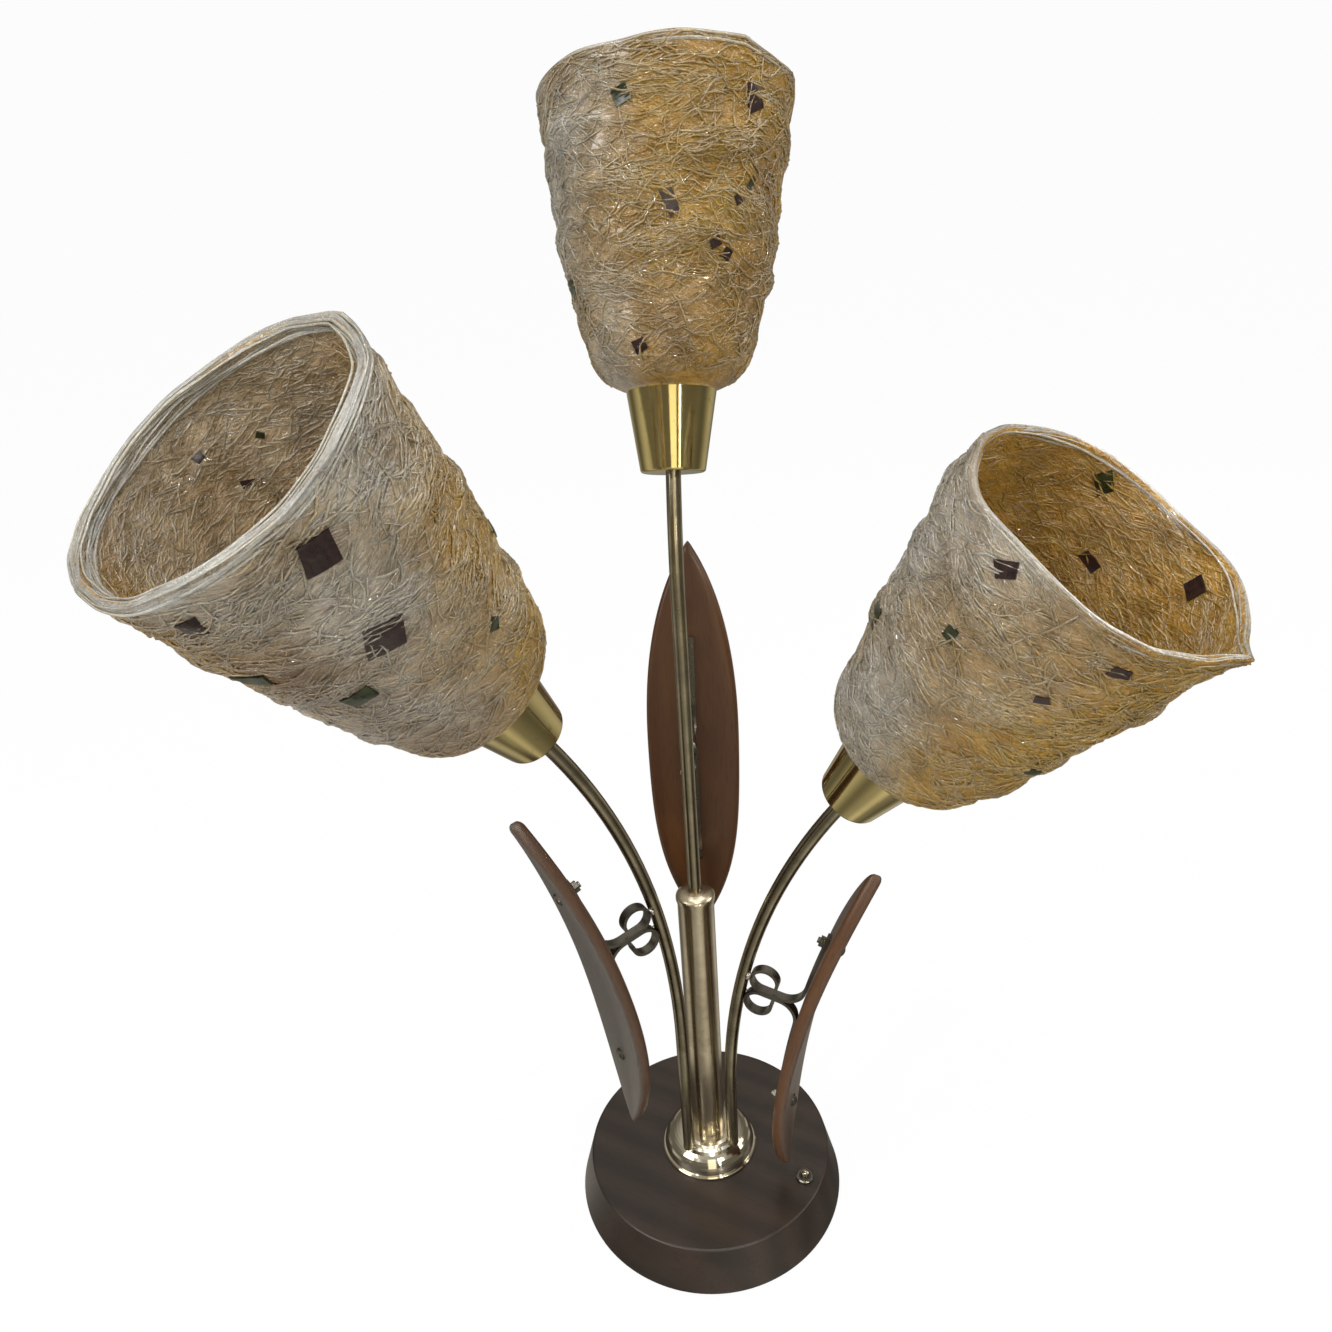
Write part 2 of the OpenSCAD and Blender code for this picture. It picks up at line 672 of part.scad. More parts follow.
module base_disc() color(wood_dark) difference() {
    rotate_extrude() polygon(concat(
        [[0, wood_z], [base_foot_r - base_chamfer, wood_z]],
        [[base_side_r(wood_z + base_chamfer), wood_z + base_chamfer]],
        arc([base_top_r - base_edge_r, top_z - base_edge_r], base_edge_r, side_angle, 90, 6),
        [[0, top_z]]
    ));
    translate([0, 0, wood_z - over]) cylinder(r = cover_r + hole_gap, h = cover_t + over);
    translate([0, 0, wood_z]) cylinder(r = recess_r, h = ceiling_z - wood_z);
    translate([0, 0, wood_z]) cylinder(r = pipe_r + hole_gap, h = base_h + over);
    for (g = [LIGHTS[0], LIGHTS[1]]) rotate([0, 0, g[0]]) translate([g[1], 0, wood_z])
        cylinder(r = stem_r + hole_gap, h = base_h + over);
    at_switch() translate([0, 0, wood_z])
        cylinder(r = switch_body_r + 2 * soft_gap, h = pocket_top_z - wood_z);
    at_switch() translate([0, 0, wood_z])
        cylinder(r = switch_neck_r + hole_gap, h = base_h + over);
    at_weight_screws() translate([0, 0, ceiling_z - over])
        cylinder(r = weight_screw_r + seat_gap, h = weight_screw_grip + over + hole_gap);
    translate([0, recess_r - 3 * over, inlet_z]) rotate([-90, 0, 0])
        cylinder(r = inlet_bore_r + inlet_wall + hole_gap, h = base_foot_r);
    translate([0, inlet_seat_y, inlet_z]) rotate([-90, 0, 0])
        cylinder(r = inlet_flange_r + hole_gap, h = base_foot_r);
}

module base_weight() color("#444648") difference() {
    translate([0, 0, ceiling_z - weight_t]) cylinder(r = weight_r, h = weight_t);
    translate([0, 0, wood_z]) cylinder(r = weight_bore_r, h = base_h);
    at_weight_screws() translate([0, 0, wood_z])
        cylinder(r = weight_screw_r + hole_gap, h = base_h);
}

module weight_screws() color("silver") at_weight_screws()
    translate([0, 0, ceiling_z - weight_t]) {
        translate([0, 0, -weight_head_h])
            cylinder(r1 = weight_head_r - 2 * edge, r2 = weight_head_r, h = weight_head_h);
        translate([0, 0, -join]) cylinder(r = weight_screw_r, h = weight_t + weight_screw_grip);
    }

module base_cover() color("#8a7a63") translate([0, 0, wood_z])
    cylinder(r = cover_r, h = cover_t);

module base_felt() color("#2d3a2d") cylinder(r = base_foot_r - felt_inset, h = felt_t);

module terminal_block() color("#ddd6c6") translate([0, 0, cover_z])
    cylinder(r = block_r, h = block_h);

module inlet_bushing() color("#1c1c1c") {
    foot_y = recess_r - inlet_inner;
    translate([0, 0, inlet_z]) rotate([-90, 0, 0]) difference() {
        union() {
            translate([0, 0, foot_y])
                cylinder(r = inlet_bore_r + inlet_wall, h = inlet_seat_y - foot_y + join);
            translate([0, 0, inlet_seat_y]) cylinder(r = inlet_flange_r, h = inlet_flange_t);
        }
        translate([0, 0, foot_y - over]) cylinder(r = inlet_bore_r, h = base_foot_r);
    }
}

// A quarter ellipse from the flange's bead up to its rim around the column
function dome(w, h, n = 12) = [for (i = [0:n])
    [column_r + flange_lip + w * cos(90 * i / n), flange_bead + h * sin(90 * i / n)]];

module flange() color(polished) {
    neck = column_r + hole_gap;
    dome_w = flange_r - 2 * edge - column_r - flange_lip;
    dome_h = flange_h - flange_bead;
    difference() {
        translate([0, 0, top_z]) rotate_extrude() polygon(concat(
            [[flange_r - 2 * edge - flange_wall, 0], [flange_r - edge, 0], [flange_r, edge]],
            [[flange_r, flange_bead - edge], [flange_r - edge, flange_bead]],
            dome(dome_w, dome_h),
            [[neck, flange_h], [neck, flange_h - flange_wall]],
            reversed(dome(dome_w - flange_wall, dome_h - flange_wall))
        ));
        for (g = [LIGHTS[0], LIGHTS[1]]) rotate([0, 0, g[0]]) translate([g[1], 0, top_z])
            cylinder(r = stem_r + hole_gap, h = flange_h + over);
    }
}

module column_tube() color(brass) translate([0, 0, top_z]) difference() {
    cylinder(r = column_r, h = column_top_z - top_z);
    translate([0, 0, -over])
        cylinder(r = column_r - column_wall, h = column_top_z - top_z + 2 * over);
}

module column_cap() color(polished) translate([0, 0, column_top_z]) difference() {
    cap_r = column_r + cap_overhang;
    plug_r = column_r - column_wall - slide_gap;
    rotate_extrude() polygon(concat(
        [[0, -cap_plug], [plug_r, -cap_plug], [plug_r, 0], [cap_r - edge, 0], [cap_r, edge]],
        [for (i = [0:10]) [cap_r * cos(9 * i), cap_lip + cap_dome * sin(9 * i)]]
    ));
    translate([0, 0, -cap_plug - over]) cylinder(r = pipe_r + seat_gap, h = cap_plug);
    translate([0, 0, -2 * over])
        cylinder(r = stem_r + hole_gap, h = cap_lip + cap_dome + 3 * over);
}

module mounting_pipe() color("#b8b2a4") translate([0, 0, pipe_foot_z]) difference() {
    h = column_top_z - over - pipe_foot_z - seat_gap;
    cylinder(r = pipe_r, h = h);
    translate([0, 0, -over]) cylinder(r = pipe_bore_r, h = h + 2 * over);
}

module pipe_washer() color("silver") translate([0, 0, ceiling_z - pipe_washer_t])
    difference() {
        cylinder(r = pipe_washer_r, h = pipe_washer_t);
        translate([0, 0, -over]) cylinder(r = pipe_r + hole_gap, h = pipe_washer_t + 2 * over);
    }

module pipe_nut() color("silver")
    translate([0, 0, ceiling_z - pipe_washer_t - pipe_nut_h]) difference() {
        cylinder(r = pipe_nut_r, h = pipe_nut_h, $fn = 6);
        translate([0, 0, -over]) cylinder(r = pipe_r + seat_gap, h = pipe_nut_h + 2 * over);
    }

module stem_nuts() color("silver") for (g = [LIGHTS[0], LIGHTS[1]])
    rotate([0, 0, g[0]]) translate([g[1], 0, ceiling_z - stem_nut_h]) difference() {
        cylinder(r = stem_nut_r, h = stem_nut_h, $fn = 6);
        translate([0, 0, -over]) cylinder(r = stem_r + seat_gap, h = stem_nut_h + 2 * over);
    }

module switch_body() color("#26231f") at_switch() difference() {
    union() {
        translate([0, 0, pocket_top_z - switch_body_h])
            cylinder(r = switch_body_r, h = switch_body_h);
        translate([0, 0, pocket_top_z - over])
            cylinder(r = switch_neck_r, h = switch_top_z - pocket_top_z + over);
    }
    translate([0, 0, pocket_top_z - switch_body_h + switch_wall])
        cylinder(r = button_collar_r + 2 * slide_gap, h = switch_body_h - 2 * switch_wall);
    translate([0, 0, pocket_top_z - 2 * switch_wall])
        cylinder(r = button_r + slide_gap, h = switch_top_z - pocket_top_z + 4 * over);
}

module switch_nut() color(polished) at_switch() translate([0, 0, top_z]) difference() {
    union() {
        cylinder(r = switch_nut_r, h = switch_nut_h - edge);
        translate([0, 0, switch_nut_h - edge])
            cylinder(r1 = switch_nut_r, r2 = switch_nut_r - edge, h = edge);
    }
    translate([0, 0, -over]) cylinder(r = switch_neck_r + seat_gap, h = switch_nut_h + 2 * over);
}

// The button at rest: its collar is a seat gap below the switch body's roof
module switch_button() color(polished) at_switch() {
    collar_top = pocket_top_z - switch_wall - seat_gap;
    pin_foot = pocket_top_z - switch_body_h + switch_wall + button_travel + over;
    ball_r = button_r * 1.6;
    translate([0, 0, collar_top - button_collar_h])
        cylinder(r = button_collar_r, h = button_collar_h);
    translate([0, 0, pin_foot]) cylinder(r = button_pin_r, h = collar_top - pin_foot);
    translate([0, 0, collar_top - over])
        cylinder(r = button_r, h = button_top_z - button_dome + join - collar_top + over);
    translate([0, 0, button_top_z - button_dome]) intersection() {
        cylinder(r = button_r, h = button_dome);
        translate([0, 0, button_dome - ball_r]) sphere(r = ball_r);
    }
}

base_disc();
base_weight();
weight_screws();
base_cover();
base_felt();
terminal_block();
inlet_bushing();
flange();
column_tube();
column_cap();
mounting_pipe();
pipe_washer();
pipe_nut();
stem_nuts();
color(brass) stem(LIGHTS[0], pipe_foot_z);  // left_stem
color(brass) stem(LIGHTS[1], pipe_foot_z);  // right_stem
color(brass) stem(LIGHTS[2], column_top_z);  // centre_stem
color("gold") wire(LIGHTS[0]);  // left_wire
color("gold") wire(LIGHTS[1]);  // right_wire
color("gold") wire(LIGHTS[2]);  // centre_wire
color("silver") for (g = LIGHTS) cup_nipple(g);  // cup_nipples
color(brass) cup(LIGHTS[0]);  // left_cup
color(brass) cup(LIGHTS[1]);  // right_cup
color(brass) cup(LIGHTS[2]);  // centre_cup
color("silver") for (g = LIGHTS) cup_nut(g);  // cup_nuts
color("#26231f") socket(LIGHTS[0]);  // left_socket
color("#26231f") socket(LIGHTS[1]);  // right_socket
color("#26231f") socket(LIGHTS[2]);  // centre_socket
color(acrylic) shade(LIGHTS[0]);  // left_shade
color(acrylic) shade(LIGHTS[1]);  // right_shade
color(acrylic) shade(LIGHTS[2]);  // centre_shade
color(brass) for (g = LIGHTS) shade_ring(g);  // shade_rings
color(walnut) leaf(LIGHTS[0], LEAVES[0]);  // left_leaf
color(walnut) leaf(LIGHTS[1], LEAVES[1]);  // right_leaf
color(walnut) leaf(LIGHTS[2], LEAVES[2]);  // back_leaf
color(bronze) strap(LIGHTS[0], LEAVES[0], 1);  // left_bracket_upper
color(bronze) strap(LIGHTS[0], LEAVES[0], -1);  // left_bracket_lower
color(bronze) strap(LIGHTS[1], LEAVES[1], 1);  // right_bracket_upper
color(bronze) strap(LIGHTS[1], LEAVES[1], -1);  // right_bracket_lower
color(bronze) strap(LIGHTS[2], LEAVES[2], 1);  // back_bracket_upper
color(bronze) strap(LIGHTS[2], LEAVES[2], -1);  // back_bracket_lower
color(polished)  // leaf_screws
    for (i = [0:2], side = [-1, 1]) leaf_screw(LIGHTS[i], LEAVES[i], side);
color(polished)  // leaf_nuts
    for (i = [0:2], side = [-1, 1]) leaf_nut(LIGHTS[i], LEAVES[i], side);
switch_body();
switch_nut();
switch_button();
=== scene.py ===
import json
import math
import bmesh
import bpy
import numpy as np
from mathutils import Matrix, Vector
from mathutils.bvhtree import BVHTree


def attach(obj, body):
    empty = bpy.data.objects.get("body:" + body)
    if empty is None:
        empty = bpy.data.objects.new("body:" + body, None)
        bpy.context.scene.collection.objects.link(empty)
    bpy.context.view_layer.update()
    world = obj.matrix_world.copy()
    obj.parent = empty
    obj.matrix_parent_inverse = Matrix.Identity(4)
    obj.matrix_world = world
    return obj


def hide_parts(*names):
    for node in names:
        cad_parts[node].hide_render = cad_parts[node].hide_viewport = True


# Three-light tulip lamp, dressed. The shape dictionaries are in millimetres and degrees; the
# stage, the lamps and the camera are in metres.
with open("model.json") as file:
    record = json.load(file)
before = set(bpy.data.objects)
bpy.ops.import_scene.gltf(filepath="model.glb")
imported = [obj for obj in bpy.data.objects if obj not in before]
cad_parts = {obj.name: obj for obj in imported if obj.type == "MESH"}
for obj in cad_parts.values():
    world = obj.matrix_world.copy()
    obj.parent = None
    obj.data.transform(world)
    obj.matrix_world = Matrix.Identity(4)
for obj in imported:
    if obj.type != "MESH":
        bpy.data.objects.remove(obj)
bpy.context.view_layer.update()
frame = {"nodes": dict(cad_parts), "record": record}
nodes = frame["nodes"]
mounts = {m["name"]: m for m in frame["record"]["mounts"]}
mm = 0.001
ringPoints = 4  # corners of a strand's section
wholeTurn = 6.3  # random phases run from 0 to this
print("frame loaded:", len(nodes), "nodes")


def putMesh(name, points, faces, material, values=None, body="lamp"):
    # points (n, 3) in metres, faces (m, 3 or 4) of point numbers, values {attribute: array}
    mesh = bpy.data.meshes.new(name)
    sides = faces.shape[1]
    mesh.vertices.add(len(points))
    mesh.vertices.foreach_set("co", points.astype(np.float32).ravel())
    mesh.loops.add(faces.size)
    mesh.loops.foreach_set("vertex_index", faces.astype(np.int32).ravel())
    mesh.polygons.add(len(faces))
    mesh.polygons.foreach_set("loop_start", np.arange(len(faces), dtype=np.int32) * sides)
    mesh.update(calc_edges=True)
    for label, value in (values or {}).items():
        kind, key = ("FLOAT_VECTOR", "vector") if value.ndim == 2 else ("FLOAT", "value")
        attribute = mesh.attributes.new(label, kind, "POINT")
        attribute.data.foreach_set(key, value.astype(np.float32).ravel())
    mesh.shade_smooth()
    mesh.materials.append(material)
    piece = bpy.data.objects.new(name, mesh)
    bpy.context.scene.collection.objects.link(piece)
    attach(piece, body)
    return piece


def gridFaces(rows, columns, wrapRows=False, wrapColumns=True):
    # quads between neighbouring points of a rows x columns grid, numbered row by row
    i = np.arange(rows if wrapRows else rows - 1)[:, None]
    j = np.arange(columns if wrapColumns else columns - 1)[None, :]
    ii, jj = (i + 1) % rows, (j + 1) % columns
    quad = [i * columns + j, i * columns + jj, ii * columns + jj, ii * columns + j]
    return np.stack(np.broadcast_arrays(*quad), -1).reshape(-1, 4)


def cadPoints(node):
    # the points of a CAD node, in metres
    co = np.zeros(len(node.data.vertices) * 3, np.float32)
    node.data.vertices.foreach_get("co", co)
    return co.reshape(-1, 3)


def tubes(paths, normals, widths, heights, closed=False):
    # One flat tube along each path. A ring point is path + height * cos * normal + width *
    # sin * (tangent x normal) at each quarter turn; paths (n, k, 3), widths and heights
    # (n, k). An open tube has a quad over each end.
    n, k, _ = paths.shape
    if closed:
        tangent = np.roll(paths, -1, axis=1) - np.roll(paths, 1, axis=1)
    else:
        tangent = np.gradient(paths, axis=1)
    tangent /= np.linalg.norm(tangent, axis=2, keepdims=True)
    across = np.cross(tangent, normals)
    across /= np.linalg.norm(across, axis=2, keepdims=True)
    up = np.cross(across, tangent)
    turn = np.arange(ringPoints) * 2 * math.pi / ringPoints
    ring = (np.cos(turn)[:, None] * up[:, :, None, :] * heights[:, :, None, None]
            + np.sin(turn)[:, None] * across[:, :, None, :] * widths[:, :, None, None])
    points = (paths[:, :, None, :] + ring).reshape(-1, 3)
    one = gridFaces(k, ringPoints, wrapRows=closed)[:, ::-1]
    if not closed:
        last = ringPoints * k - 1
        one = np.concatenate([one, [[0, 1, 2, 3], [last, last - 1, last - 2, last - 3]]])
    faces = (np.arange(n) * k * ringPoints)[:, None, None] + one[None]
    return points, faces.reshape(-1, 4)


def waves(seed, count, aroundMax, alongMax):
    # A smooth bumpy field from -1 to 1 on (angle, height in mm): a sum of cosines of
    # whole turns around and random lengths along, so that it closes round the shade
    rng = np.random.default_rng(seed)
    around = rng.integers(0, aroundMax + 1, count)
    along = rng.uniform(0.2, 1, count) * 2 * math.pi / alongMax * rng.choice([-1, 1], count)
    phase = rng.uniform(0, 2 * math.pi, count)
    size = rng.uniform(0.5, 1, count)
    size /= np.sqrt((size ** 2).sum() * 0.5) * 2

    def field(angle, height):
        angle, height = np.broadcast_arrays(np.asarray(angle, float), np.asarray(height, float))
        value = np.zeros(angle.shape)
        for a, b, c, d in zip(around, along, phase, size):
            value += d * np.cos(a * angle + b * height + c)
        return np.clip(value, -1, 1)
    return field


def swing(rng, at, rate):
    # sin(rate * at + phase) with a random phase for each row
    return np.sin(at * rate + rng.uniform(0, wholeTurn, (len(at), 1)))


class Value:
    # a shader number or vector; arithmetic on it adds Math nodes
    def __init__(self, look, socket):
        self.look, self.socket = look, socket

    def __add__(self, other):
        return self.look.math("ADD", self, other)

    def __radd__(self, other):
        return self.look.math("ADD", other, self)

    def __sub__(self, other):
        return self.look.math("SUBTRACT", self, other)

    def __rsub__(self, other):
        return self.look.math("SUBTRACT", other, self)

    def __mul__(self, other):
        return self.look.math("MULTIPLY", self, other)

    def __rmul__(self, other):
        return self.look.math("MULTIPLY", other, self)


class Nodes:
    # the emptied node tree of a material or of the world
    def __init__(self, owner, output="OutputMaterial"):
        owner.use_nodes = True
        self.tree = owner.node_tree
        self.tree.nodes.clear()
        self.out = self.tree.nodes.new("ShaderNode" + output)

    def plug(self, target, value):
        # a link, or the socket's own value; one number fills a vector, three get alpha 1
        if isinstance(value, Value):
            self.tree.links.new(value.socket, target)
        elif hasattr(target.default_value, "__len__") and not hasattr(value, "__len__"):
            target.default_value = [value] * len(target.default_value)
        elif hasattr(value, "__len__") and len(value) == 3 and len(target.default_value) == 4:
            target.default_value = (*value, 1)
        else:
            target.default_value = value

    def node(self, kind, settings, inputs, output=0):
        # any node: its settings first, then the values or links of its sockets
        made = self.tree.nodes.new("ShaderNode" + kind)
        for label, value in settings.items():
            if label == "stops":
                ramp = made.color_ramp
                while len(ramp.elements) < len(value):
                    ramp.elements.new(0.5)
                for element, (at, tint) in zip(ramp.elements, value):
                    element.position = at
                    element.color = (*tint, 1) if hasattr(tint, "__len__") else (tint, tint, tint, 1)
            else:
                setattr(made, label, value)
        for label, value in inputs.items():
            self.plug(made.inputs[label], value)
        return Value(self, made.outputs[output])

    def math(self, operation, *values):
        return self.node("Math", {"operation": operation}, dict(enumerate(values)))

    def place(self, scale=(1, 1, 1), turn=(0, 0, 0)):
        at = self.node("TexCoord", {}, {}, "Object")
        return self.node("Mapping", {}, {"Vector": at, "Scale": scale, "Rotation": turn})

    def scaled(self, at, along, across):
        return self.node("Mapping", {}, {"Vector": at, "Scale": (along, across, across)})

    def attribute(self, name, output="Fac"):
        return self.node("Attribute", {"attribute_name": name}, {}, output)

    def noise(self, at, scale, detail=4, roughness=0.5, distortion=0):
        return self.node("TexNoise", {}, {"Vector": at, "Scale": scale, "Detail": detail,
                                          "Roughness": roughness, "Distortion": distortion})

    def ramp(self, value, *stops):
        return self.node("ValToRGB", {"stops": stops}, {"Fac": value})

    def mix(self, factor, a, b, blend="MIX"):
        return self.node("Mix", {"data_type": "RGBA", "blend_type": blend},
                         {0: factor, 6: a, 7: b}, 2)

    def sortRays(self, plain, shown, mirrored, share=1.0):
        # the surface: plain for diffuse rays, a share of shown for camera and clear rays,
        # mirrored for mirror rays
        camera, clear, glossy = (self.node("LightPath", {}, {}, "Is " + kind + " Ray")
                                 for kind in ("Camera", "Transmission", "Glossy"))
        seen = self.math("MULTIPLY", self.math("MAXIMUM", camera, clear), share)
        surface = self.node("MixShader", {}, {0: seen, 1: plain, 2: shown})
        surface = self.node("MixShader", {}, {0: glossy, 1: surface, 2: mirrored})
        self.plug(self.out.inputs["Surface"], surface)


class Look(Nodes):
    # one Principled material; constants are the shader's own sockets
    def __init__(self, name, constants):
        self.material = bpy.data.materials.new(name)
        super().__init__(self.material)
        self.shader = self.tree.nodes.new("ShaderNodeBsdfPrincipled")
        self.tree.links.new(self.shader.outputs[0], self.out.inputs["Surface"])
        for label, value in constants.items():
            self.shader.inputs[label].default_value = value

    def finish(self, tint, rough, height, distance, strength=1.0, **others):
        # the material, with its relief as a bump of so many metres
        bump = self.node("Bump", {}, {"Height": height, "Distance": distance, "Strength": strength})
        inputs = {"Base Color": tint, "Roughness": rough, "Normal": bump, **others}
        for label, value in inputs.items():
            self.plug(self.shader.inputs[label], value)
        return self.material


# each metal: bright and dull colour, roughness from and to, patches a metre, streaks
metals = {
    "agedBrass": ((0.46, 0.41, 0.29), (0.23, 0.20, 0.14), (0.14, 0.28), 38, 0.6),
    "columnMetal": ((0.80, 0.71, 0.54), (0.50, 0.43, 0.31), (0.12, 0.26), 38, 0.6),
    "polishedBrass": ((0.80, 0.67, 0.31), (0.62, 0.51, 0.23), (0.05, 0.10), 22, 0.15),
    "flangeMetal": ((0.76, 0.71, 0.58), (0.56, 0.52, 0.42), (0.05, 0.10), 18, 0.0),
    "darkBronze": ((0.27, 0.255, 0.22), (0.12, 0.11, 0.095), (0.18, 0.34), 60, 0.3),
    "solder": ((0.62, 0.60, 0.55), (0.40, 0.37, 0.32), (0.18, 0.34), 300, 0.0),
    "zincSteel": ((0.55, 0.55, 0.52), (0.38, 0.38, 0.37), (0.25, 0.45), 70, 0.0),
    "threadBrass": ((0.62, 0.48, 0.24), (0.42, 0.31, 0.15), (0.18, 0.3), 120, 0.0),
}
metalGrain = {"specks": 9, "lines": 900, "drawn": (1, 1, 0.03), "relief": 0.00004}


def metalLook(name, bright, dull, roughness, mottle, streak):
    # metal: colour from bright to dull in soft patches, finer specks in the roughness,
    # and streaks along Z where it was drawn or brushed
    look = Look(name, {"Metallic": 1.0})
    at = look.place()
    patch = look.noise(at, mottle, 5, 0.6, 0.4)
    speck = look.noise(at, mottle * metalGrain["specks"], 3, 0.7)
    lines = look.noise(look.place(metalGrain["drawn"]), metalGrain["lines"], 3, 0.6)
    tint = look.mix(look.ramp(patch, (0.35, 0), (0.7, 1)), bright, dull)
    tint = look.mix(look.ramp(speck, (0.62, 0), (0.72, 0.5)), tint, dull, "MULTIPLY")
    worn = look.ramp(patch, (0.3, 0), (0.75, 1))
    rough = roughness[0] + (roughness[1] - roughness[0]) * worn + 0.06 * speck
    height = speck * 0.4 + lines * streak
    return look.finish(tint, rough, height, metalGrain["relief"], 0.5)


# each plain matter: two colours, roughness, grains a metre, metallic, depth in m, sheen
plains = {
    "castIron": ((0.05, 0.05, 0.052), (0.09, 0.085, 0.08), 0.62, 420, 0.9, 0.0004, 0.0),
    "coverBoard": ((0.16, 0.11, 0.07), (0.22, 0.16, 0.10), 0.75, 600, 0.0, 0.0001, 0.0),
    "greenFelt": ((0.014, 0.03, 0.016), (0.03, 0.05, 0.028), 0.92, 1500, 0.0, 0.0006, 0.6),
    "phenolic": ((0.022, 0.018, 0.016), (0.035, 0.028, 0.024), 0.36, 500, 0.0, 0.0001, 0.0),
    "terminalPlastic": ((0.60, 0.56, 0.48), (0.68, 0.64, 0.57), 0.5, 380, 0.0, 0.0001, 0.0),
    "blackRubber": ((0.018, 0.018, 0.018), (0.03, 0.03, 0.03), 0.55, 700, 0.0, 0.0001, 0.0),
    "wireSleeve": ((0.48, 0.36, 0.10), (0.58, 0.45, 0.16), 0.35, 900, 0.0, 0.0001, 0.0),
}
patchShare = 0.12  # of the grain's scale


def plainLook(name, colour, second, roughness, grain, metallic, depth, sheen):
    # moulded, cast or pressed matter: two close colours in soft patches, and a grain bump
    look = Look(name, {"Metallic": metallic, "Sheen Weight": sheen, "Sheen Roughness": 0.5})
    at = look.place()
    patch = look.noise(at, grain * patchShare, 4, 0.6)
    fine = look.noise(at, grain, 4, 0.7)
    tint = look.mix(look.ramp(patch, (0.3, 0), (0.7, 1)), colour, second)
    rough = roughness - 0.08 + 0.16 * fine
    return look.finish(tint, rough, fine, depth)


# wood: dark, middle and light tint, their grey forms for a painted sheen, scales along and
# across the grain, growth bands and how much they show; a coat of varnish
woods = {
    "darkTurnedWood": {"tints": ((0.006, 0.003, 0.002), (0.018, 0.0105, 0.007), (0.040, 0.023, 0.015)),
                       "along": 2.2, "across": 26, "bands": 0.6, "contrast": 0.2, "roughness": 0.34,
                       "coat": 0.22, "coatRoughness": 0.18},
    "leafWood": {"tints": ((0.026, 0.0085, 0.002), (0.075, 0.026, 0.005), (0.140, 0.053, 0.010)),
                 "faded": ((0.036, 0.029, 0.024), (0.078, 0.066, 0.056), (0.125, 0.110, 0.096)),
                 "along": 2.0, "across": 22, "bands": 0.5, "contrast": 0.12, "roughness": 0.36,
                 "coat": 0.16, "coatRoughness": 0.22},
}
woodGrain = {"fibre": (2, 60, 14), "pores": (5, 110, 9), "stops": (0.2, 0.5, 0.85), "turn": (0, 0, 0.5)}


def woodLook(name):
    # wood: growth bands stretched along the first coordinate, darker pores, satin finish;
    # a leaf has its own grain coordinate, and an attribute turns it to grey tints, a painted sheen of
    # reflected light
    own = woods[name]
    look = Look(name, {"Coat Weight": own["coat"], "Coat Roughness": own["coatRoughness"], "IOR": 1.5})
    if "faded" in own:
        at = look.attribute("grain", "Vector")
    else:
        at = look.place(turn=woodGrain["turn"])
    squeeze = look.scaled(at, own["along"], own["across"])
    sway = look.noise(squeeze, 1.3, 3, 0.5, 0.6)
    bands = look.node("TexWave", {"wave_type": "BANDS", "bands_direction": "Y", "wave_profile": "SIN"},
                      {"Vector": squeeze, "Scale": own["bands"], "Distortion": 5.0, "Detail": 3.0,
                       "Detail Scale": 1.2, "Detail Roughness": 0.6}, 1)
    along, across, scale = woodGrain["fibre"]
    fibre = look.noise(look.scaled(at, own["along"] * along, across), scale, 5, 0.75)
    along, across, scale = woodGrain["pores"]
    pores = look.noise(look.scaled(at, own["along"] * along, across), scale, 2, 0.5)
    shade = bands * own["contrast"] + sway * 0.65 + fibre * 0.28
    tint = look.ramp(shade, *zip(woodGrain["stops"], own["tints"]))
    if "faded" in own:
        grey = look.ramp(shade, *zip(woodGrain["stops"], own["faded"]))
        tint = look.mix(look.attribute("faded"), tint, grey)
    pit = look.ramp(pores, (0.56, 0), (0.66, 1))
    tint = look.mix(pit * 0.3, tint, own["tints"][0])
    rough = own["roughness"] + 0.14 * fibre + 0.06 * pit
    height = fibre * 0.5 - pit * 0.3
    return look.finish(tint, rough, height, 0.0001, 0.12)


clearPlastic = {"IOR": 1.6, "Specular IOR Level": 0.95, "Subsurface Weight": 0.45,
                "Subsurface Radius": (1.0, 0.72, 0.42), "Subsurface Scale": 0.0045}
# the shades' three colours, darkest and lightest, and the painted light that brightens their insides
acrylic = {"gold": ((0.212, 0.112, 0.013), (0.41, 0.238, 0.038)),
           "grey": ((0.225, 0.186, 0.134), (0.45, 0.405, 0.33)),
           "brown": ((0.12, 0.078, 0.054), (0.24, 0.175, 0.125)),
           "glow": (1.3, 1.25, 1.16), "pale": (0.50, 0.48, 0.42), "clouds": 55}


def acrylicTint(look, at):
    # warm grey where tone is 0, golden tan where it is 1, browner where dusk is 1, and
    # brighter inside the shade where glow is 1, painted light standing in for light
    # through the wall; rougher in the clouds' light parts
    cloud = look.noise(at, acrylic["clouds"], 4, 0.6)
    gold, grey, brown = (look.ramp(cloud, (0.3, acrylic[key][0]), (0.7, acrylic[key][1]))
                         for key in ("gold", "grey", "brown"))
    tint = look.mix(look.attribute("tone"), grey, gold)
    tint = look.mix(look.attribute("dusk"), tint, brown)
    tint = look.mix(look.attribute("glow"), tint, acrylic["glow"], "MULTIPLY")
    return tint, 0.05 + 0.11 * look.ramp(cloud, (0.35, 0), (0.8, 1))


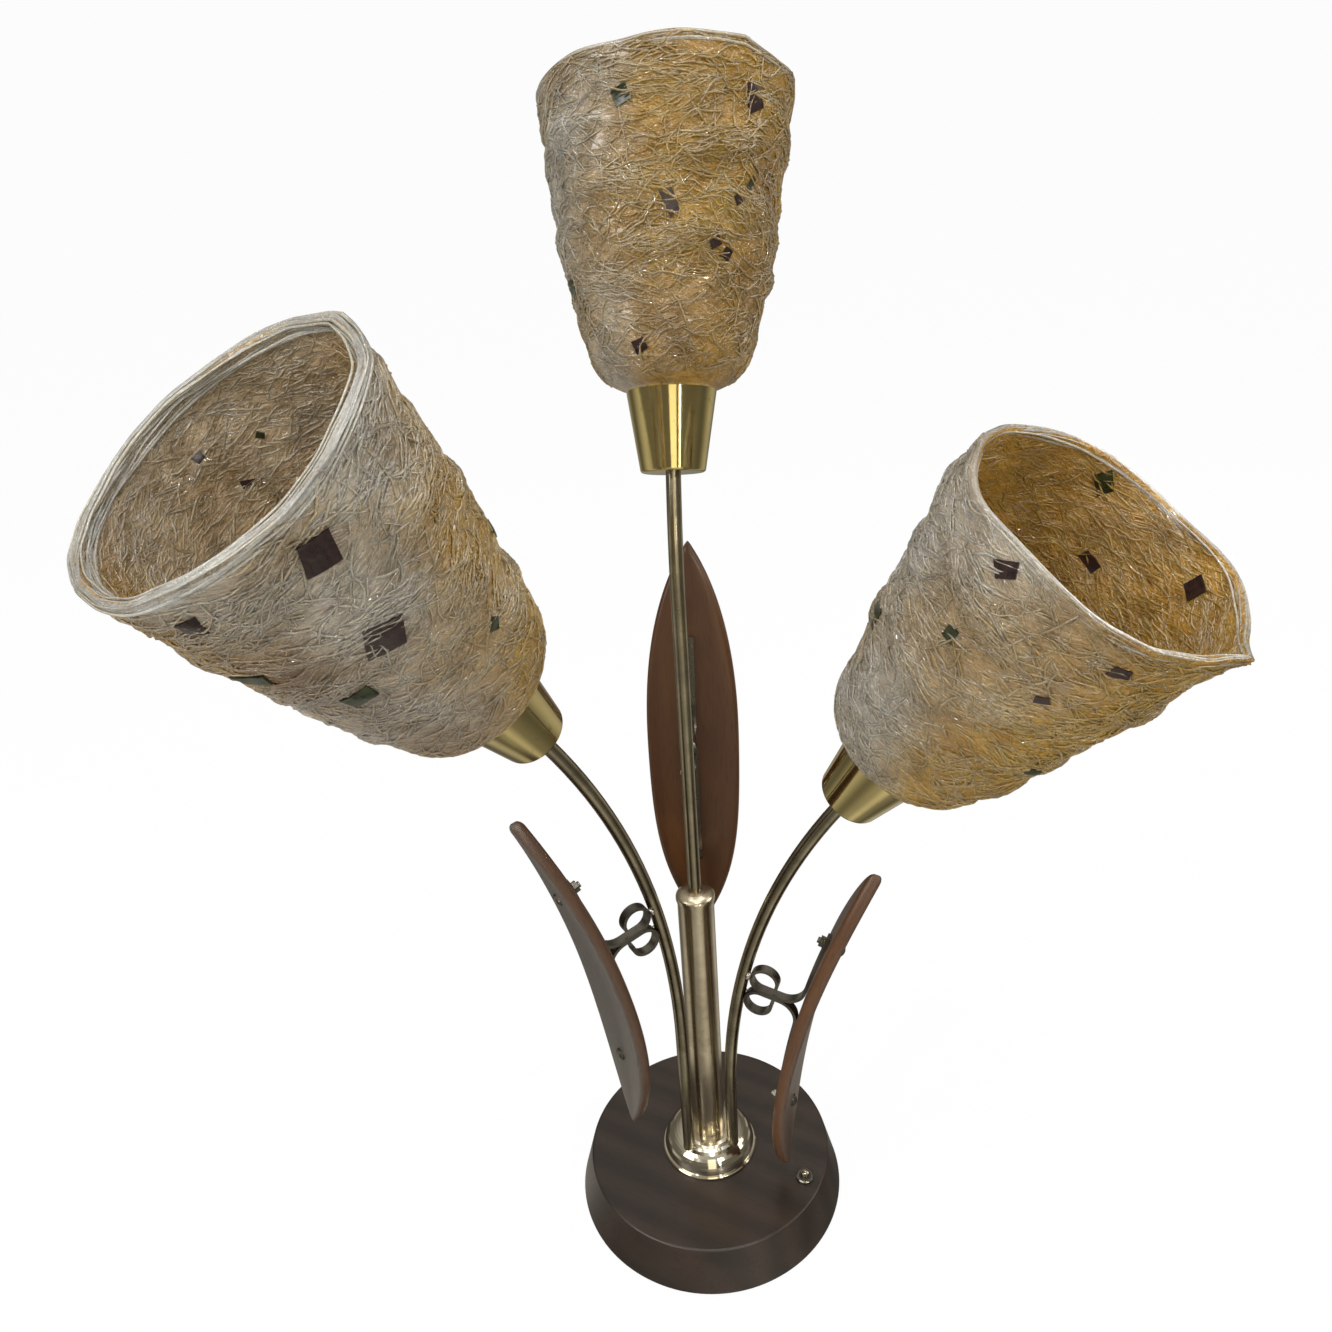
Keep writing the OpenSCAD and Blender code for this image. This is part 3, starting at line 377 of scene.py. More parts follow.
def strandLook(name, clear, pale, bright):
    # a spun acrylic strand: clear, dented along its length, paler by pale, with a glassy
    # skin in short stretches that catches the light
    look = Look(name, clearPlastic | {"Transmission Weight": clear, "Coat Roughness": 0.05, "Coat IOR": 1.7})
    at = look.place()
    tint, rough = acrylicTint(look, at)
    fine = look.noise(at, 620, 3, 0.65, 1.0)
    tint = look.mix(0.8, tint, look.ramp(fine, (0.3, 0.5), (0.68, 1.4)), "MULTIPLY")
    # painted highlight: bright raises the whole strand, so strands stand lighter than the wall like lit
    # crests
    tint = look.mix(1, look.mix(pale, tint, acrylic["pale"]), bright, "MULTIPLY")
    dents = look.noise(at, 560, 3, 0.6, 1.0)
    skin = look.ramp(look.noise(at, 240, 2, 0.5), (0.40, 0.25), (0.54, 1))
    return look.finish(tint, rough, dents, 0.0009, 0.9, **{"Coat Weight": skin})


def wallLook(name):
    # the fused wall: three layers of threads, two slanted and one level, the highest of
    # them showing; a thread is the ridge 1 - |6 noise - 3| of noise stretched along it,
    # and small glassy spots lie along the level threads
    look = Look(name, clearPlastic | {"Transmission Weight": 0.05, "Coat Roughness": 0.1, "Coat IOR": 1.8})
    at = look.place()
    tint, rough = acrylicTint(look, at)

    def threads(label, scale):
        noise = look.noise(look.attribute(label, "Vector"), scale, 1, 0.5, 0.5)
        return 1 - look.math("ABSOLUTE", 6 * noise - 3)
    height = look.math("MAXIMUM", threads("rising", 270), threads("falling", 240))
    height = look.math("MAXIMUM", height, threads("level", 255))
    height = look.math("MAXIMUM", height, -0.4)
    # painted shade and highlight: the colour darkens in the grooves between the threads and lightens on their
    # ridges
    tint = look.mix(0.85, tint, look.ramp(height * 0.6 + 0.4, (0.25, 0.42), (0.95, 1.12)), "MULTIPLY")
    dents = look.noise(at, 340, 2, 0.5, 1.0)
    relief = height + dents * 1.8
    skin = look.ramp(look.noise(look.attribute("level", "Vector"), 420, 2, 0.5), (0.56, 0), (0.62, 1))
    return look.finish(tint, rough, relief, 0.0009, 1.0, **{"Coat Weight": skin})


def chipLook(name):
    # dark brown or green plastic by the attribute green, cloudy and lightly dented
    look = Look(name, {"Coat Weight": 0.25, "Coat Roughness": 0.1, "IOR": 1.45})
    cloud = look.noise(look.place(), 260, 3, 0.6, 0.8)
    brown = look.ramp(cloud, (0.35, (0.012, 0.005, 0.005)), (0.75, (0.035, 0.016, 0.014)))
    green = look.ramp(cloud, (0.35, (0.006, 0.010, 0.003)), (0.75, (0.03, 0.04, 0.010)))
    tint = look.mix(look.attribute("green"), brown, green)
    return look.finish(tint, 0.22 + 0.15 * cloud, cloud, 0.0003, 0.4)


looks = {name: metalLook(name, *own) for name, own in metals.items()}
looks |= {name: plainLook(name, *own) for name, own in plains.items()}
looks |= {name: woodLook(name) for name in woods}
looks |= {"acrylicStrands": strandLook("acrylicStrands", 0.1, 0, 1.05),
          "acrylicLip": strandLook("acrylicLip", 0.15, 0.5, 1.15),
          "acrylicWall": wallLook("acrylicWall"), "darkChips": chipLook("darkChips")}
print("materials made:", len(looks))


# what each CAD node is made of, by the ends of their names
finishes = {
    "darkTurnedWood": ("base_disc",), "castIron": ("base_weight",), "coverBoard": ("base_cover",),
    "greenFelt": ("base_felt",), "terminalPlastic": ("terminal_block",), "wireSleeve": ("_wire",),
    "blackRubber": ("inlet_bushing",), "phenolic": ("switch_body", "_socket"),
    "flangeMetal": ("flange",), "columnMetal": ("column_tube", "column_cap"),
    "polishedBrass": ("shade_rings", "_cup"), "agedBrass": ("switch_button", "_stem"),
    "darkBronze": ("leaf_screws", "leaf_nuts", "switch_nut", "_upper", "_lower"),
    "zincSteel": ("weight_screws", "_pipe", "_washer", "pipe_nut", "stem_nuts", "_nipples", "cup_nuts"),
    "acrylicWall": ("_shade",), "leafWood": ("_leaf",),
}
for name, node in nodes.items():
    finish = next(finish for finish, ends in finishes.items() if name.endswith(ends))
    node.data.materials.clear()
    node.data.materials.append(looks[finish])
print("CAD nodes finished")


shadeShape = {
    "cupHeight": 36, "seat": 21, "neckFoot": 16.6, "neckTop": 19.1, "neckWall": 2.2, "floor": 23.2,
    "floorRadius": 11.6, "shoulder": 38.2, "shoulderHeight": 21, "shoulderSwell": 4.6, "rim": 55.5,
    "sideSwell": 2.2, "wall": 3.0, "threadMiddle": 23.85, "sunk": 0.2, "edgeRise": (0.7, 0.9, 0.7),
    "lumps": 0.85, "lumpStart": 2, "lumpFade": 16, "fineShare": 0.5,
    "rimWave": 1.6, "rimFade": 40, "cornerFade": 25, "skin": 2.4, "skinFade": 1.4, "inside": 1.2,
    "bundles": 18, "bundleHeight": 1.7, "bundleWidth": 13, "bundleLength": 62, "bundleSlant": 10,
    "goldenAngle": 137.5, "threadSlope": 0.55, "threadStretch": 6.0, "threadRadius": 47.0,
    "cloudy": {"gold": 0.35, "dusk": 0.15}, "outsideRows": 100, "insideRows": 70, "columns": 320,
    "fields": ((16, 9, 30), (20, 20, 9), (5, 6, 900), (10, 5, 60), (8, 5, 70)),
}
# the patches are partly the acrylic's own mixed colour and partly painted light: gold leaves grey where
# window light is reflected (painted reflection), and dusk darkens where shade falls (painted shade)
# gold and dusk patches: [angle, height, spread in degrees, spread in height, strength];
# corner: where the rim is drawn out, by how much outwards and up, and its spread in degrees
shades = {
    "left": {
        "length": 141, "seed": 11, "innerGold": 0.25, "lip": {"tone": 0.0, "spread": 2.3},
        "corner": {"at": 170, "out": 1.0, "up": 1.5, "spread": 12},
        "gold": [[135, 95, 42, 90, 1.1], [95, 48, 60, 22, 0.8], [-5, 150, 35, 50, 1.0]],
        "dusk": [[30, 105, 32, 70, 0.7], [-165, 120, 40, 50, 0.35], [60, 60, 30, 20, 0.35]]},
    "right": {
        "length": 133, "seed": 23, "innerGold": 0.75, "lip": {"tone": 0.85, "spread": 1.5},
        "corner": {"at": -8, "out": 4.5, "up": 2.5, "spread": 9},
        "gold": [[60, 120, 85, 120, 1.25], [-32, 120, 58, 120, 1.25]],
        "dusk": [[-60, 150, 20, 25, 0.35], [100, 150, 30, 25, 0.3]]},
    "centre": {
        "length": 127, "seed": 37, "innerGold": 0.4, "lip": {"tone": 0.6, "spread": 1.4},
        "corner": {"at": -140, "out": 1.5, "up": 1.5, "spread": 12},
        "gold": [[-122, 100, 68, 200, 2.2], [30, 100, 60, 200, 0.8]],
        "dusk": [[-178, 60, 25, 25, 0.35], [-110, 90, 20, 40, 0.35]]},
}


def bowPoints(p, q, swell, n):
    # points from p to q that swell to the right by a parabola of height swell
    p, q = np.array(p, float), np.array(q, float)
    t = np.linspace(0, 1, n)[:, None]
    side = np.array([q[1] - p[1], p[0] - q[0]]) / np.linalg.norm(q - p)
    return p + (q - p) * t + side * swell * 4 * t * (1 - t)


class Shade:
    # The shade's own frame: foot of the cup, axis, and x (downhill side), y across it.
    # A point at (angle, height, lift) is foot + axis * height + (radius(height) + lift) *
    # (x cos angle + y sin angle), all lengths in mm until the end.
    def __init__(self, side, own):
        shape = shadeShape
        mount = mounts[side + "_bulb_socket"]
        self.axis = np.array(mount["axis"], float)
        flat = np.array([self.axis[0], self.axis[1], 0])
        tilt = np.linalg.norm(flat)
        out = flat / tilt
        self.x = out * self.axis[2] - np.array([0, 0, tilt])
        self.y = np.cross(self.axis, self.x)
        self.foot = np.array(mount["pos_m"]) / mm - self.axis * shape["threadMiddle"]
        self.rimHeight = shape["cupHeight"] + own["length"]
        low = [shape["neckTop"] + 0.6, shape["cupHeight"] + 0.3]
        mid = [shape["shoulder"], shape["cupHeight"] + shape["shoulderHeight"]]
        top = [shape["rim"], self.rimHeight]
        line = np.concatenate([bowPoints(low, mid, shape["shoulderSwell"], 12),
                               bowPoints(mid, top, shape["sideSwell"], 20)[1:]])
        self.lineHeight, self.lineRadius = line[:, 1], line[:, 0]
        self.lump, self.fine, self.rimField, self.patch, self.flow = (
            waves(own["seed"] + i, *numbers) for i, numbers in enumerate(shape["fields"]))
        self.own = own
        low = shape["cupHeight"] + shape["shoulderHeight"] + shape["bundleWidth"]
        high = self.rimHeight - shape["bundleWidth"]
        k = np.arange(shape["bundles"])
        self.bundleHeights = low + (high - low) * (k + 0.5) / shape["bundles"]
        self.bundleAngles = np.radians(k * shape["goldenAngle"])
        self.bundleSlants = np.radians(shape["bundleSlant"]) * np.where(k % 2 == 0, 1, -1)

    def radius(self, height):
        return np.interp(height, self.lineHeight, self.lineRadius)

    def bundleRise(self, angle, height):
        # the wound bundles of the wall: each a low mound, height * (1 - (along / half
        # length)^2 - (across / half width)^2), turned by its slant
        shape = shadeShape
        rise = np.zeros(np.broadcast(angle, height).shape)
        for z, a, slant in zip(self.bundleHeights, self.bundleAngles, self.bundleSlants):
            around = ((angle - a + math.pi) % (2 * math.pi) - math.pi) * self.radius(z)
            along = around * math.cos(slant) + (height - z) * math.sin(slant)
            across = (height - z) * math.cos(slant) - around * math.sin(slant)
            mound = 1 - (2 * along / shape["bundleLength"]) ** 2 - (2 * across / shape["bundleWidth"]) ** 2
            rise = np.maximum(rise, shape["bundleHeight"] * mound)
        return rise

    def bumps(self, angle, height, lift):
        # the bundles rise on the outside only, small lumps are on both sides; none of it
        # near the cup
        shape = shadeShape
        fade = np.clip((height - shape["cupHeight"] - shape["lumpStart"]) / shape["lumpFade"], 0, 1)
        outer = np.clip((lift + shape["skin"]) / shape["skinFade"], 0, 1)
        small = shape["lumps"] * (self.lump(angle, height) + shape["fineShare"] * self.fine(angle, height))
        corner = self.own["corner"]["out"] * self.cornerShare(angle, height)
        return fade * (small + outer * self.bundleRise(angle, height)) + corner

    def rimLift(self, angle, height):
        # the rim rises and falls a little; the stretch fades downwards over rimFade
        fade = shadeShape["rimFade"]
        near = np.clip((height - self.rimHeight + fade) / fade, 0, 1)
        corner = self.own["corner"]["up"] * self.cornerShare(angle, height)
        return near * (shadeShape["rimWave"] * self.rimField(angle, 0) + corner)

    def cornerShare(self, angle, height):
        # the drawn-out corner of the rim: 1 at its tip, falling off to both sides and down
        corner, fade = self.own["corner"], shadeShape["cornerFade"]
        away = np.abs((np.degrees(angle) - corner["at"] + 180) % 360 - 180)
        return np.exp(-away / corner["spread"]) * np.clip((height - self.rimHeight + fade) / fade, 0, 1) ** 2

    def at(self, angle, height, lift):
        # the point in metres, and the direction away from the axis there
        angle, height, lift = np.broadcast_arrays(angle, height, lift)
        radius = self.radius(height) + lift + self.bumps(angle, height, lift)
        tall = height + self.rimLift(angle, height)
        around = np.cos(angle)[..., None] * self.x + np.sin(angle)[..., None] * self.y
        return (self.foot + tall[..., None] * self.axis + radius[..., None] * around) * mm, around

    def patches(self, key, angle, height):
        # how much of a colour shows at a point: the sum of soft patches and a cloudy field
        value = shadeShape["cloudy"][key] * self.patch(angle, height)
        for a, z, spread, tall, strength in self.own[key]:
            away = (np.degrees(angle) - a + 180) % 360 - 180
            value = value + strength * np.exp(-(away / spread) ** 2 - ((height - z) / tall) ** 2)
        return np.clip(value, 0, 1)

    def tints(self, angle, height, lift, jitter=0, copies=1):
        # the colour attributes of points, each value repeated for the points of its ring
        depth = shadeShape["inside"]
        inside = np.clip((-depth - lift) / depth, 0, 1) + 0 * angle
        gold = self.patches("gold", angle, height)
        tone = np.clip(gold + jitter + self.own["innerGold"] * inside, 0, 1)
        dusk = self.patches("dusk", angle, height) * (1 - 0.6 * inside)
        # glow: the inside brightened, painted light that stands in for light through the wall
        values = {"tone": tone, "dusk": dusk, "glow": inside}
        return {label: np.repeat(value.ravel(), copies) for label, value in values.items()}

    def threadPlaces(self, angle, height):
        # places in which noise stretches along threads that climb the wall by slope:
        # (r cos t, r sin t, height / stretch) with t = angle - height / (slope r), and for
        # level threads the height in full and the turn drawn in
        shape, radius = shadeShape, shadeShape["threadRadius"]
        places = {}
        for label, slope in (("rising", shape["threadSlope"]), ("falling", -shape["threadSlope"])):
            t = angle - height / (slope * radius)
            climb = height / shape["threadStretch"]
            places[label] = np.stack([radius * np.cos(t), radius * np.sin(t), climb], -1)
        inner = radius / shape["threadStretch"]
        places["level"] = np.stack([inner * np.cos(angle), inner * np.sin(angle), height], -1)
        return {label: place.reshape(-1, 3) * mm for label, place in places.items()}


def makeShell(side, shade):
    # the fused wall: a closed profile (neck, outside, rim, inside, floor) turned round the
    # axis, with the small lumps of the outside carried through to the inside
    shape = shadeShape
    rim, wall, sunk = shade.rimHeight, shape["wall"], shape["sunk"]
    outside = np.linspace(shape["cupHeight"] + 0.3, rim, shape["outsideRows"])
    inside = np.linspace(rim, shape["cupHeight"] + 2, shape["insideRows"])
    neck = [shape["seat"], shape["seat"], shape["cupHeight"] - 0.2]
    heights = np.concatenate([neck, outside, rim + np.array(shape["edgeRise"]), inside,
                              [shape["floor"], shape["floor"]]])
    radii = np.concatenate([[shape["floorRadius"], shape["neckFoot"], shape["neckTop"]],
                            shade.radius(outside) - sunk,
                            shade.radius(rim) - np.array([0.5, wall / 2, wall - 0.5]),
                            shade.radius(inside) - wall - sunk,
                            [shape["neckFoot"] - shape["neckWall"], shape["floorRadius"]]])
    turns = np.linspace(0, 2 * math.pi, shape["columns"], endpoint=False)
    angle, height = np.meshgrid(turns, heights)
    lift = (radii - shade.radius(heights))[:, None] + 0 * angle
    points, _ = shade.at(angle, height, lift)
    faces = gridFaces(len(heights), len(turns), wrapRows=True)
    piece = putMesh(side + "ShadeWall", points.reshape(-1, 3), faces, looks["acrylicWall"],
                    shade.tints(angle, height, lift) | shade.threadPlaces(angle, height))
    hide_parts(side + "_shade")


# ranges of each strand's length, half width, half height and lift; the spread of its slope
# and curl, how far it turns with the flow, and the share that follows a bundle
strandKinds = {
    "Outer": {"count": 3700, "length": (8, 28), "width": (0.26, 0.62), "height": (0.28, 0.45),
              "lift": (-0.25, 0.28), "slope": 17, "curl": 0.05, "flow": 32, "bundled": 0.3, "sink": -0.8},
    "Inner": {"count": 3000, "length": (10, 32), "width": (0.26, 0.6), "height": (0.28, 0.42),
              "lift": (-3.3, -2.95), "slope": 12, "curl": 0.03, "flow": 14, "bundled": 0, "sink": 0.8},
}
strandWalk = {"points": 7, "above": 4, "below": 0.4, "crowd": 0.85, "rimZone": 24, "rimLevel": 0.8,
              "rimStraight": 0.7, "start": (-1, 0.2), "follow": 0.2, "wobble": 0.3, "wobbleRate": (0.15, 0.5),
              "ripple": 0.15, "rippleRate": (0.3, 0.8), "tip": 0.4, "jitter": 0.1}


def walkStrands(shade, own, rng):
    # Each strand walks over the unrolled surface; its heading is the flow there plus its own
    # slope, a steady curl and a wobble. Some start on a bundle and follow it. Past the rim
    # or the cup a strand is folded back.
    shape, walk = shadeShape, strandWalk
    n, k = own["count"], walk["points"]
    bottom, top = shape["cupHeight"] + walk["above"], shade.rimHeight - walk["below"]
    start = bottom + (top - bottom) * rng.uniform(0, 1, (n, 1)) ** walk["crowd"]
    angle0 = rng.uniform(0, 2 * math.pi, (n, 1))
    step = rng.uniform(*own["length"], (n, 1)) / (k - 1)
    walked = step * np.arange(k)
    slope = np.radians(rng.normal(0, own["slope"], (n, 1)) + own["flow"] * shade.flow(angle0, start))
    nearRim = np.clip((start - top + walk["rimZone"]) / walk["rimZone"], 0, 1)
    slope *= 1 - walk["rimLevel"] * nearRim
    curl = rng.normal(0, own["curl"], (n, 1)) * (1 - walk["rimStraight"] * nearRim)
    which = rng.integers(0, shape["bundles"], (n, 1))
    follows = rng.uniform(0, 1, (n, 1)) < own["bundled"]
    back = rng.uniform(*walk["start"], (n, 1)) * (shape["bundleLength"] / 2)
    beside = rng.uniform(-1, 1, (n, 1)) * (shape["bundleWidth"] / 2)
    slant, middle = shade.bundleSlants[which], shade.bundleHeights[which]
    aside = (back * np.cos(slant) - beside * np.sin(slant)) / shade.radius(middle)
    angle0 = np.where(follows, shade.bundleAngles[which] + aside, angle0)
    start = np.where(follows, middle + back * np.sin(slant) + beside * np.cos(slant), start)
    slope = np.where(follows, slant + walk["follow"] * slope, slope)
    curl = np.where(follows, walk["follow"] * curl, curl)
    wobble = swing(rng, walked, rng.uniform(*walk["wobbleRate"], (n, 1)))
    heading = slope + curl * walked + walk["wobble"] * wobble
    heading = heading + np.where(follows, 0, math.pi * rng.integers(0, 2, (n, 1)))
    height = start + np.cumsum(np.sin(heading) * step, axis=1)
    height = bottom + np.abs(height - bottom)
    height = np.clip(top - np.abs(top - height), bottom, top)
    angle = angle0 + np.cumsum(np.cos(heading) * step / shade.radius(height), axis=1)
    return angle, height, walked


def makeStrands(side, shade, kind):
    # strands laid on the wall; their ends grow thin and sink into it
    own, walk = strandKinds[kind], strandWalk
    rng = np.random.default_rng(shade.own["seed"] * 7 + len(kind) + (kind == "Inner"))
    n = own["count"]
    angle, height, walked = walkStrands(shade, own, rng)
    along = np.linspace(0, 1, walk["points"])
    ends = np.minimum(1, np.minimum(along, 1 - along) * 4)
    lift = rng.uniform(*own["lift"], (n, 1))
    lift = lift + walk["ripple"] * swing(rng, walked, rng.uniform(*walk["rippleRate"], (n, 1)))
    lift = lift + (1 - ends) * own["sink"]
    thin = walk["tip"] + (1 - walk["tip"]) * ends
    path, normal = shade.at(angle, height, lift)
    widths = rng.uniform(*own["width"], (n, 1)) * thin * mm
    heights = rng.uniform(*own["height"], (n, 1)) * thin * mm
    points, faces = tubes(path, normal, widths, heights)
    tints = shade.tints(angle, height, lift, rng.normal(0, walk["jitter"], (n, 1)), ringPoints)
    putMesh(side + kind + "Strands", points, faces, looks["acrylicStrands"], tints)


rimShape = {"strands": 60, "cores": 4, "coreRadius": 1.35, "radius": (0.3, 0.55), "points": 170,
            "middle": -1.7, "below": 1.2, "calm": 0.45, "uneven": 0.2, "flat": 1.2}


def makeRim(side, shade):
    # long strands that run all the way round the mouth and bind it into a lip; the first
    # few are thick, calm cores that fill the space between the others
    shape, lip = rimShape, shade.own["lip"]
    rng = np.random.default_rng(shade.own["seed"] + 90)
    n = shape["strands"]
    core = (np.arange(n) < shape["cores"])[:, None]
    calm = np.where(core, shape["calm"], 1)
    round0 = np.linspace(0, 2 * math.pi, shape["points"], endpoint=False)
    turns = round0[None] + rng.uniform(0, wholeTurn, (n, 1))
    across = rng.normal(0, 0.5, (n, 1)) + 0.35 * swing(rng, turns, rng.integers(2, 7, (n, 1)))
    down = rng.normal(0, 0.7, (n, 1)) + 0.5 * swing(rng, turns, rng.integers(1, 6, (n, 1)))
    lift = shape["middle"] + lip["spread"] * across * 0.8 * calm
    height = shade.rimHeight - shape["below"] + lip["spread"] * down * 0.9 * calm
    height = np.minimum(height, shade.rimHeight + np.where(core, -0.5, 0.6))
    path, normal = shade.at(turns, height, lift)
    thick = rng.uniform(*shape["radius"], (n, 1)) * (1 + shape["uneven"] * swing(rng, turns, 3)) * mm
    thick = np.where(core, shape["coreRadius"] * mm, thick)
    points, faces = tubes(path, normal, thick * shape["flat"], thick, True)
    tints = shade.tints(turns, height, 0, 0, ringPoints)
    tints = {"tone": 0.3 * tints["tone"] + lip["tone"] * 0.7, "dusk": tints["dusk"] * 0.2}
    putMesh(side + "ShadeLip", points, faces, looks["acrylicLip"], tints)


# chips: [angle in degrees, height, width, length, turn in degrees, green, place], where
# place is 0 on the outside, 1 on the inside, 2 under the outer and 3 under the inner strands
chips = {
    "left": [
        [76, 161, 11, 10.5, 69, 0, 0], [69, 123, 14, 13, 62, 0, 2], [43, 107, 11, 6.5, 10, 1, 0],
        [30, 163, 8, 6, 0, 0, 2], [19, 132, 12, 5, -10, 1, 0], [103, 88, 5, 4.5, 40, 1, 2],
        [-102, 140, 5, 3, 30, 0, 3], [-97, 158, 4, 2.5, 0, 0, 3], [-120, 150, 3, 2, 50, 1, 1],
        [150, 96, 6, 4, 10, 1, 0], [-60, 120, 12, 12, 35, 0, 0], [-130, 88, 11, 12, 15, 0, 2],
        [-20, 80, 9, 10, 60, 0, 0], [180, 140, 12, 11, 30, 0, 2]],
    "right": [
        [49, 157, 8, 7, 12, 0, 1], [109, 161, 9, 7, 40, 1, 3], [90, 134, 9, 5, 10, 0, 3],
        [-105, 161, 8, 6, 40, 0, 2], [-105, 129, 5, 6, 5, 1, 2], [-64, 133, 5, 3, 30, 0, 2],
        [-35, 97, 6, 4, -20, 1, 0], [-53, 157, 7, 4, 5, 0, 2], [10, 120, 12, 12, 30, 0, 0],
        [75, 100, 11, 12, 50, 0, 2], [150, 140, 12, 10, 20, 0, 0], [-150, 96, 10, 9, 15, 1, 2]],
    "centre": [
        [-132, 145, 7, 10, 20, 0, 2], [-173, 103, 5, 10, 25, 0, 2], [-138, 106, 4, 4, 40, 0, 2],
        [-130, 113, 6, 2.5, 60, 1, 2], [-150, 89, 4.5, 5, 30, 0, 2], [-142, 85, 4.5, 4, 60, 0, 2],
        [165, 50, 6, 5, 20, 0, 2], [167, 143, 7, 6, 20, 1, 2], [60, 120, 12, 12, 35, 0, 2],
        [0, 90, 12, 11, 15, 0, 0], [-60, 130, 11, 12, 50, 0, 0], [110, 80, 9, 8, 10, 1, 2]],
}
chipShape = {"lifts": (0.55, -3.7, -0.02, -3.08), "thick": 0.7, "uneven": 0.12, "skew": 0.4, "grid": 6}


def makeChips(side, shade):
    # each chip is a small uneven sheet bent to the wall: a grid on the outside and one
    # below it, joined round the edge
    shape, g = chipShape, chipShape["grid"]
    own = np.array(chips[side], float)
    degrees, middle, wideness, length, turn, _, place = own.T[:, :, None, None]
    line = np.linspace(-1, 1, g)
    a, b = np.meshgrid(line, line)
    turn = np.radians(turn)
    rng = np.random.default_rng(shade.own["seed"] + 50)
    uneven = rng.uniform(-shape["uneven"], shape["uneven"], (3, len(own), 1, 1))
    wide = wideness * 0.5 * a * (1 + uneven[0] * b) + uneven[2] * length * shape["skew"] * b
    tall = length * 0.5 * b * (1 + uneven[1] * a)
    around = wide * np.cos(turn) - tall * np.sin(turn)
    height = middle + (wide * np.sin(turn) + tall * np.cos(turn))
    height = np.clip(height, shadeShape["cupHeight"] + 4, shade.rimHeight - 2)
    angle = np.radians(degrees) + around / shade.radius(height)
    base = np.array(shape["lifts"])[place.astype(int)] + 0 * angle
    top, _ = shade.at(angle, height, base + shape["thick"] / 2)
    bottom, _ = shade.at(angle, height, base - shape["thick"] / 2)
    points = np.stack([top, bottom], 1).reshape(-1, 3)
    flat = gridFaces(g, g, wrapColumns=False)
    edge = np.concatenate([np.arange(g), np.arange(1, g) * g + g - 1, g * g - 1 - np.arange(1, g),
                           g * (g - 1) - np.arange(1, g - 1) * g])
    after = np.roll(edge, -1)
    wall = np.stack([edge, edge + g * g, after + g * g, after], -1)
    one = np.concatenate([flat, flat[:, ::-1] + g * g, wall])
    faces = ((np.arange(len(own)) * 2 * g * g)[:, None, None] + one[None]).reshape(-1, 4)
    green = np.repeat(own[:, 5], 2 * g * g)
    piece = putMesh(side + "ShadeChips", points, faces, looks["darkChips"],
                    {"green": green})
    piece.data.shade_flat()


threadShape = {"low": 13.1, "high": 34.6, "rows": 90, "columns": 48, "inner": 6.6, "outer": 6.88,
               "ripple": 0.16, "pitch": 2.8}


def makeThread(side, shade):
    # brass screw shell in the socket's bore: the inner radius plus ripple * cos(2 pi height
    # / pitch - angle), which climbs one pitch a turn, and a plain back at the outer radius
    shape = threadShape
    heights = np.linspace(shape["low"], shape["high"], shape["rows"])
    turns = np.linspace(0, 2 * math.pi, shape["columns"], endpoint=False)
    angle, height = np.meshgrid(turns, heights)
    ripple = shape["ripple"] * np.cos(2 * math.pi * height / shape["pitch"] - angle)
    rows = [(height, shape["inner"] + ripple), (height[::-1], shape["outer"] + 0 * ripple)]
    around = np.cos(angle)[..., None] * shade.x + np.sin(angle)[..., None] * shade.y
    points = [shade.foot + h[..., None] * shade.axis + r[..., None] * around for h, r in rows]
    points = np.concatenate(points).reshape(-1, 3) * mm
    faces = gridFaces(2 * shape["rows"], shape["columns"], wrapRows=True)[:, ::-1]
    putMesh(side + "LampThread", points, faces, looks["threadBrass"])


for side, own in shades.items():
    shade = Shade(side, own)
    makeShell(side, shade)
    makeStrands(side, shade, "Outer")
    makeStrands(side, shade, "Inner")
    makeRim(side, shade)
    makeChips(side, shade)
    makeThread(side, shade)
    print("shade made:", side)


# faded: how far each leaf's faces turn grey, a painted sheen of reflected light
leafShape = {"length": 226, "width": 49, "thick": 7, "curl": 13, "full": 2.8, "blunt": 0.9, "edge": 2.8,
             "nose": 5, "uneven": 0.25, "tip": 0.9995, "rows": 130, "corner": 7, "across": 9,
             "faded": {"left_leaf": 1.0, "right_leaf": 0.5, "back_leaf": 0.0}}


def leafFrame(name):
    # the leaf's own axes from its CAD points, which lie evenly about them: along it
    # (upwards), across it, and out from the stem; and the middle of its back
    co = np.unique(np.round(cadPoints(nodes[name]).astype(float), 6), axis=0)
    centre = (co.max(0) + co.min(0)) / 2
    axes = np.linalg.svd(co - co.mean(0), full_matrices=False)[2]
    along = axes[0] * np.sign(axes[0][2])
    out = axes[2] * np.sign(axes[2][:2] @ centre[:2])
    across = np.cross(along, out)
    local = (co - centre) @ np.stack([along, across, out], 1)
    middle = (local.max(0) + local.min(0)) / 2
    near = local[np.abs(local[:, 0] - middle[0]) < 0.03]
    back = centre + along * middle[0] + across * middle[1] + out * near[:, 2].min()
    return back, along, across, out


